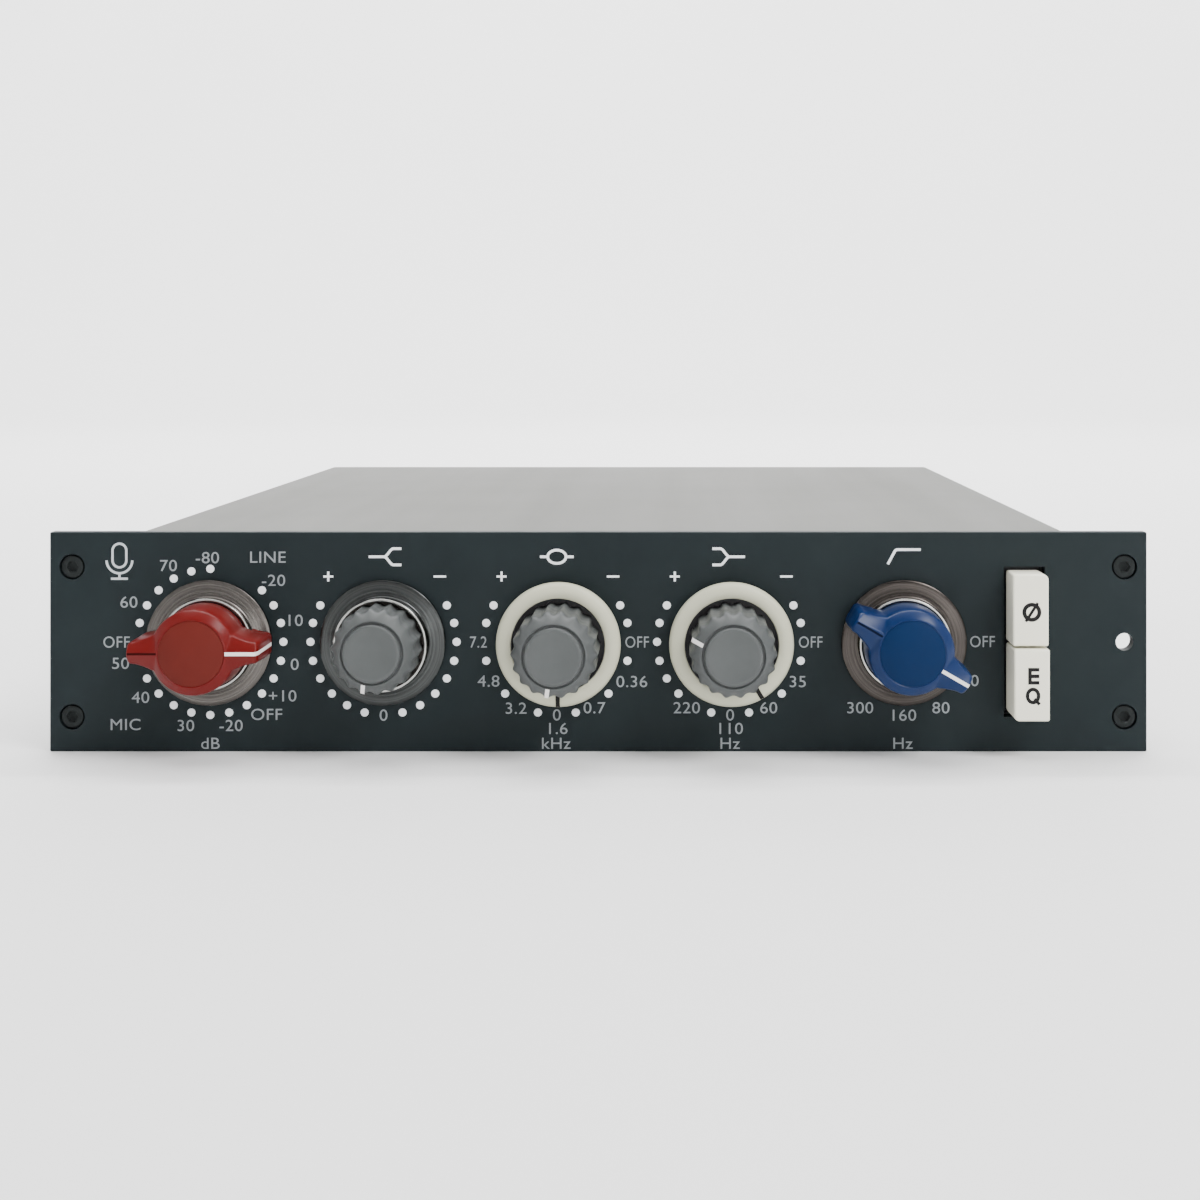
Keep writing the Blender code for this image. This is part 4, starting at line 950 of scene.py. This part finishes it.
def socket_screw(bm, head_radius, head_height, shank_radius, shank_length, hex_size):
    """A socket head screw along h with its head's top at zero and softened rims."""
    segments = 48
    rim = 0.25 * MM
    loft(bm, [
        circle(0.2 * MM, -head_height * 0.8, segments),
        hexagon(hex_size, -head_height * 0.65, segments),
        hexagon(hex_size, -0.1 * MM, segments),
        hexagon(hex_size + 0.2 * MM, 0, segments),
        circle(head_radius - rim, 0, segments),
        circle(head_radius - rim * 0.3, -rim * 0.3, segments),
        circle(head_radius, -rim, segments),
        circle(head_radius, -head_height, segments),
        circle(shank_radius, -head_height, segments),
        circle(shank_radius, -head_height - shank_length, segments),
    ])


def screws():
    for number in range(1, 5):
        low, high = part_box(f"panel_screw_{number}")
        x = (low.x + high.x) / 2
        y = (low.z + high.z) / 2 - MIDDLE_Z
        place = FACE @ Matrix.Translation((x, y, FRONT_Y - low.y))
        head = 1.2 * MM
        length = high.y - low.y - head
        bm = bmesh.new()
        socket_screw(bm, 2.25 * MM, head, 1.4 * MM, length, 2.0 * MM)
        name = f"corner_screw_{number}"
        piece(name, bm, BLACK_STEEL, "chassis", place, [f"panel_screw_{number}"])
    for number in range(1, 9):
        low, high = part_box(f"cover_screw_{number}")
        side = 1 if high.x > 0 else -1
        face_x = high.x if side > 0 else low.x
        place = Matrix.Translation((face_x, (low.y + high.y) / 2, (low.z + high.z) / 2))
        place = place @ Matrix.Rotation(side * math.radians(90), 4, "Y")
        head = 1.3 * MM
        length = high.x - low.x - head
        bm = bmesh.new()
        socket_screw(bm, 2.6 * MM, head, 1.4 * MM, length, 1.9 * MM)
        name = f"side_screw_{number}"
        piece(name, bm, PLATED, "chassis", place, [f"cover_screw_{number}"])


def rear_fixings():
    """Screws of the rear panel and of the connector's flange."""
    low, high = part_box("rear_panel")
    flange_low, flange_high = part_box("rear_connector")
    spots = []
    for x in (low.x + 9 * MM, high.x - 9 * MM):
        for z in (low.z + 7 * MM, high.z - 7 * MM):
            spots.append((x, high.y, z))
    flange_thickness = 2.8 * MM
    flange_face = high.y + flange_thickness
    head = 1.2 * MM
    for x in (flange_low.x + 4.5 * MM, flange_high.x - 4.5 * MM):
        spots.append((x, flange_face, MIDDLE_Z))
    for number, (x, y, z) in enumerate(spots, 1):
        place = Matrix.Translation((x, y + head, z)) @ Matrix.Rotation(math.radians(-90), 4, "X")
        bm = bmesh.new()
        socket_screw(bm, 2.3 * MM, head, 1.3 * MM, 0.5 * MM, 1.8 * MM)
        piece(f"rear_screw_{number}", bm, PLATED, "chassis", place)


# ---------------------------------------------------------------- stage, light and camera

def stage():
    """A pale floor that sweeps up into a wall all round."""
    bm = bmesh.new()
    sweep = 0.8
    flat = 1.7
    wall_height = 2.2
    steps = 12
    segments = 96
    profile = [(0.001, 0), (0.5, 0), (flat, 0)]
    for i in range(1, steps + 1):
        angle = math.pi / 2 * i / steps
        profile.append((flat + sweep * math.sin(angle), sweep * (1 - math.cos(angle))))
    profile.append((flat + sweep, wall_height))
    rows = []
    for radius, height in profile:
        rows.append([bm.verts.new(point) for point in circle(radius, height, segments)])
    for inner, outer in zip(rows, rows[1:]):
        for i in range(segments):
            j = (i + 1) % segments
            bm.faces.new((inner[i], outer[i], outer[j], inner[j]))
    bm.faces.new(rows[0])
    mesh = bpy.data.meshes.new("studio_floor")
    bm.to_mesh(mesh)
    bm.free()
    mesh.shade_smooth()
    mesh.materials.append(STUDIO_WHITE)
    floor = bpy.data.objects.new("studio_floor", mesh)
    bpy.context.collection.objects.link(floor)


def softbox(name, place, target, size, power):
    light = bpy.data.lights.new(name, "AREA")
    light.shape = "RECTANGLE"
    light.size, light.size_y = size
    light.energy = power
    lamp = bpy.data.objects.new(name, light)
    bpy.context.collection.objects.link(lamp)
    lamp.location = place
    lamp.rotation_euler = (Vector(target) - Vector(place)).to_track_quat("-Z", "Y").to_euler()


def lights():
    world = bpy.data.worlds.new("studio")
    world.use_nodes = True
    sky = world.node_tree.nodes["Background"]
    sky.inputs["Color"].default_value = (1.0, 1.0, 1.0, 1.0)
    sky.inputs["Strength"].default_value = WORLD_STRENGTH
    bpy.context.scene.world = world
    for settings in SOFTBOXES:
        softbox(*settings)


def camera():
    data = bpy.data.cameras.new("camera")
    data.lens = LENS
    data.sensor_width = SENSOR_WIDTH
    data.shift_x, data.shift_y = SHIFT
    eye = bpy.data.objects.new("camera", data)
    bpy.context.collection.objects.link(eye)
    eye.location = (EYE_ASIDE, FRONT_Y - EYE_DISTANCE, MIDDLE_Z + EYE_ABOVE)
    eye.rotation_euler = (math.radians(90), 0, 0)
    bpy.context.scene.camera = eye


camera()
lights()
stage()
dress_cad_nodes()
knobs()
buttons()
screws()
rear_fixings()
scale_dots()
lettering()
curve_symbols()
microphone_symbol()
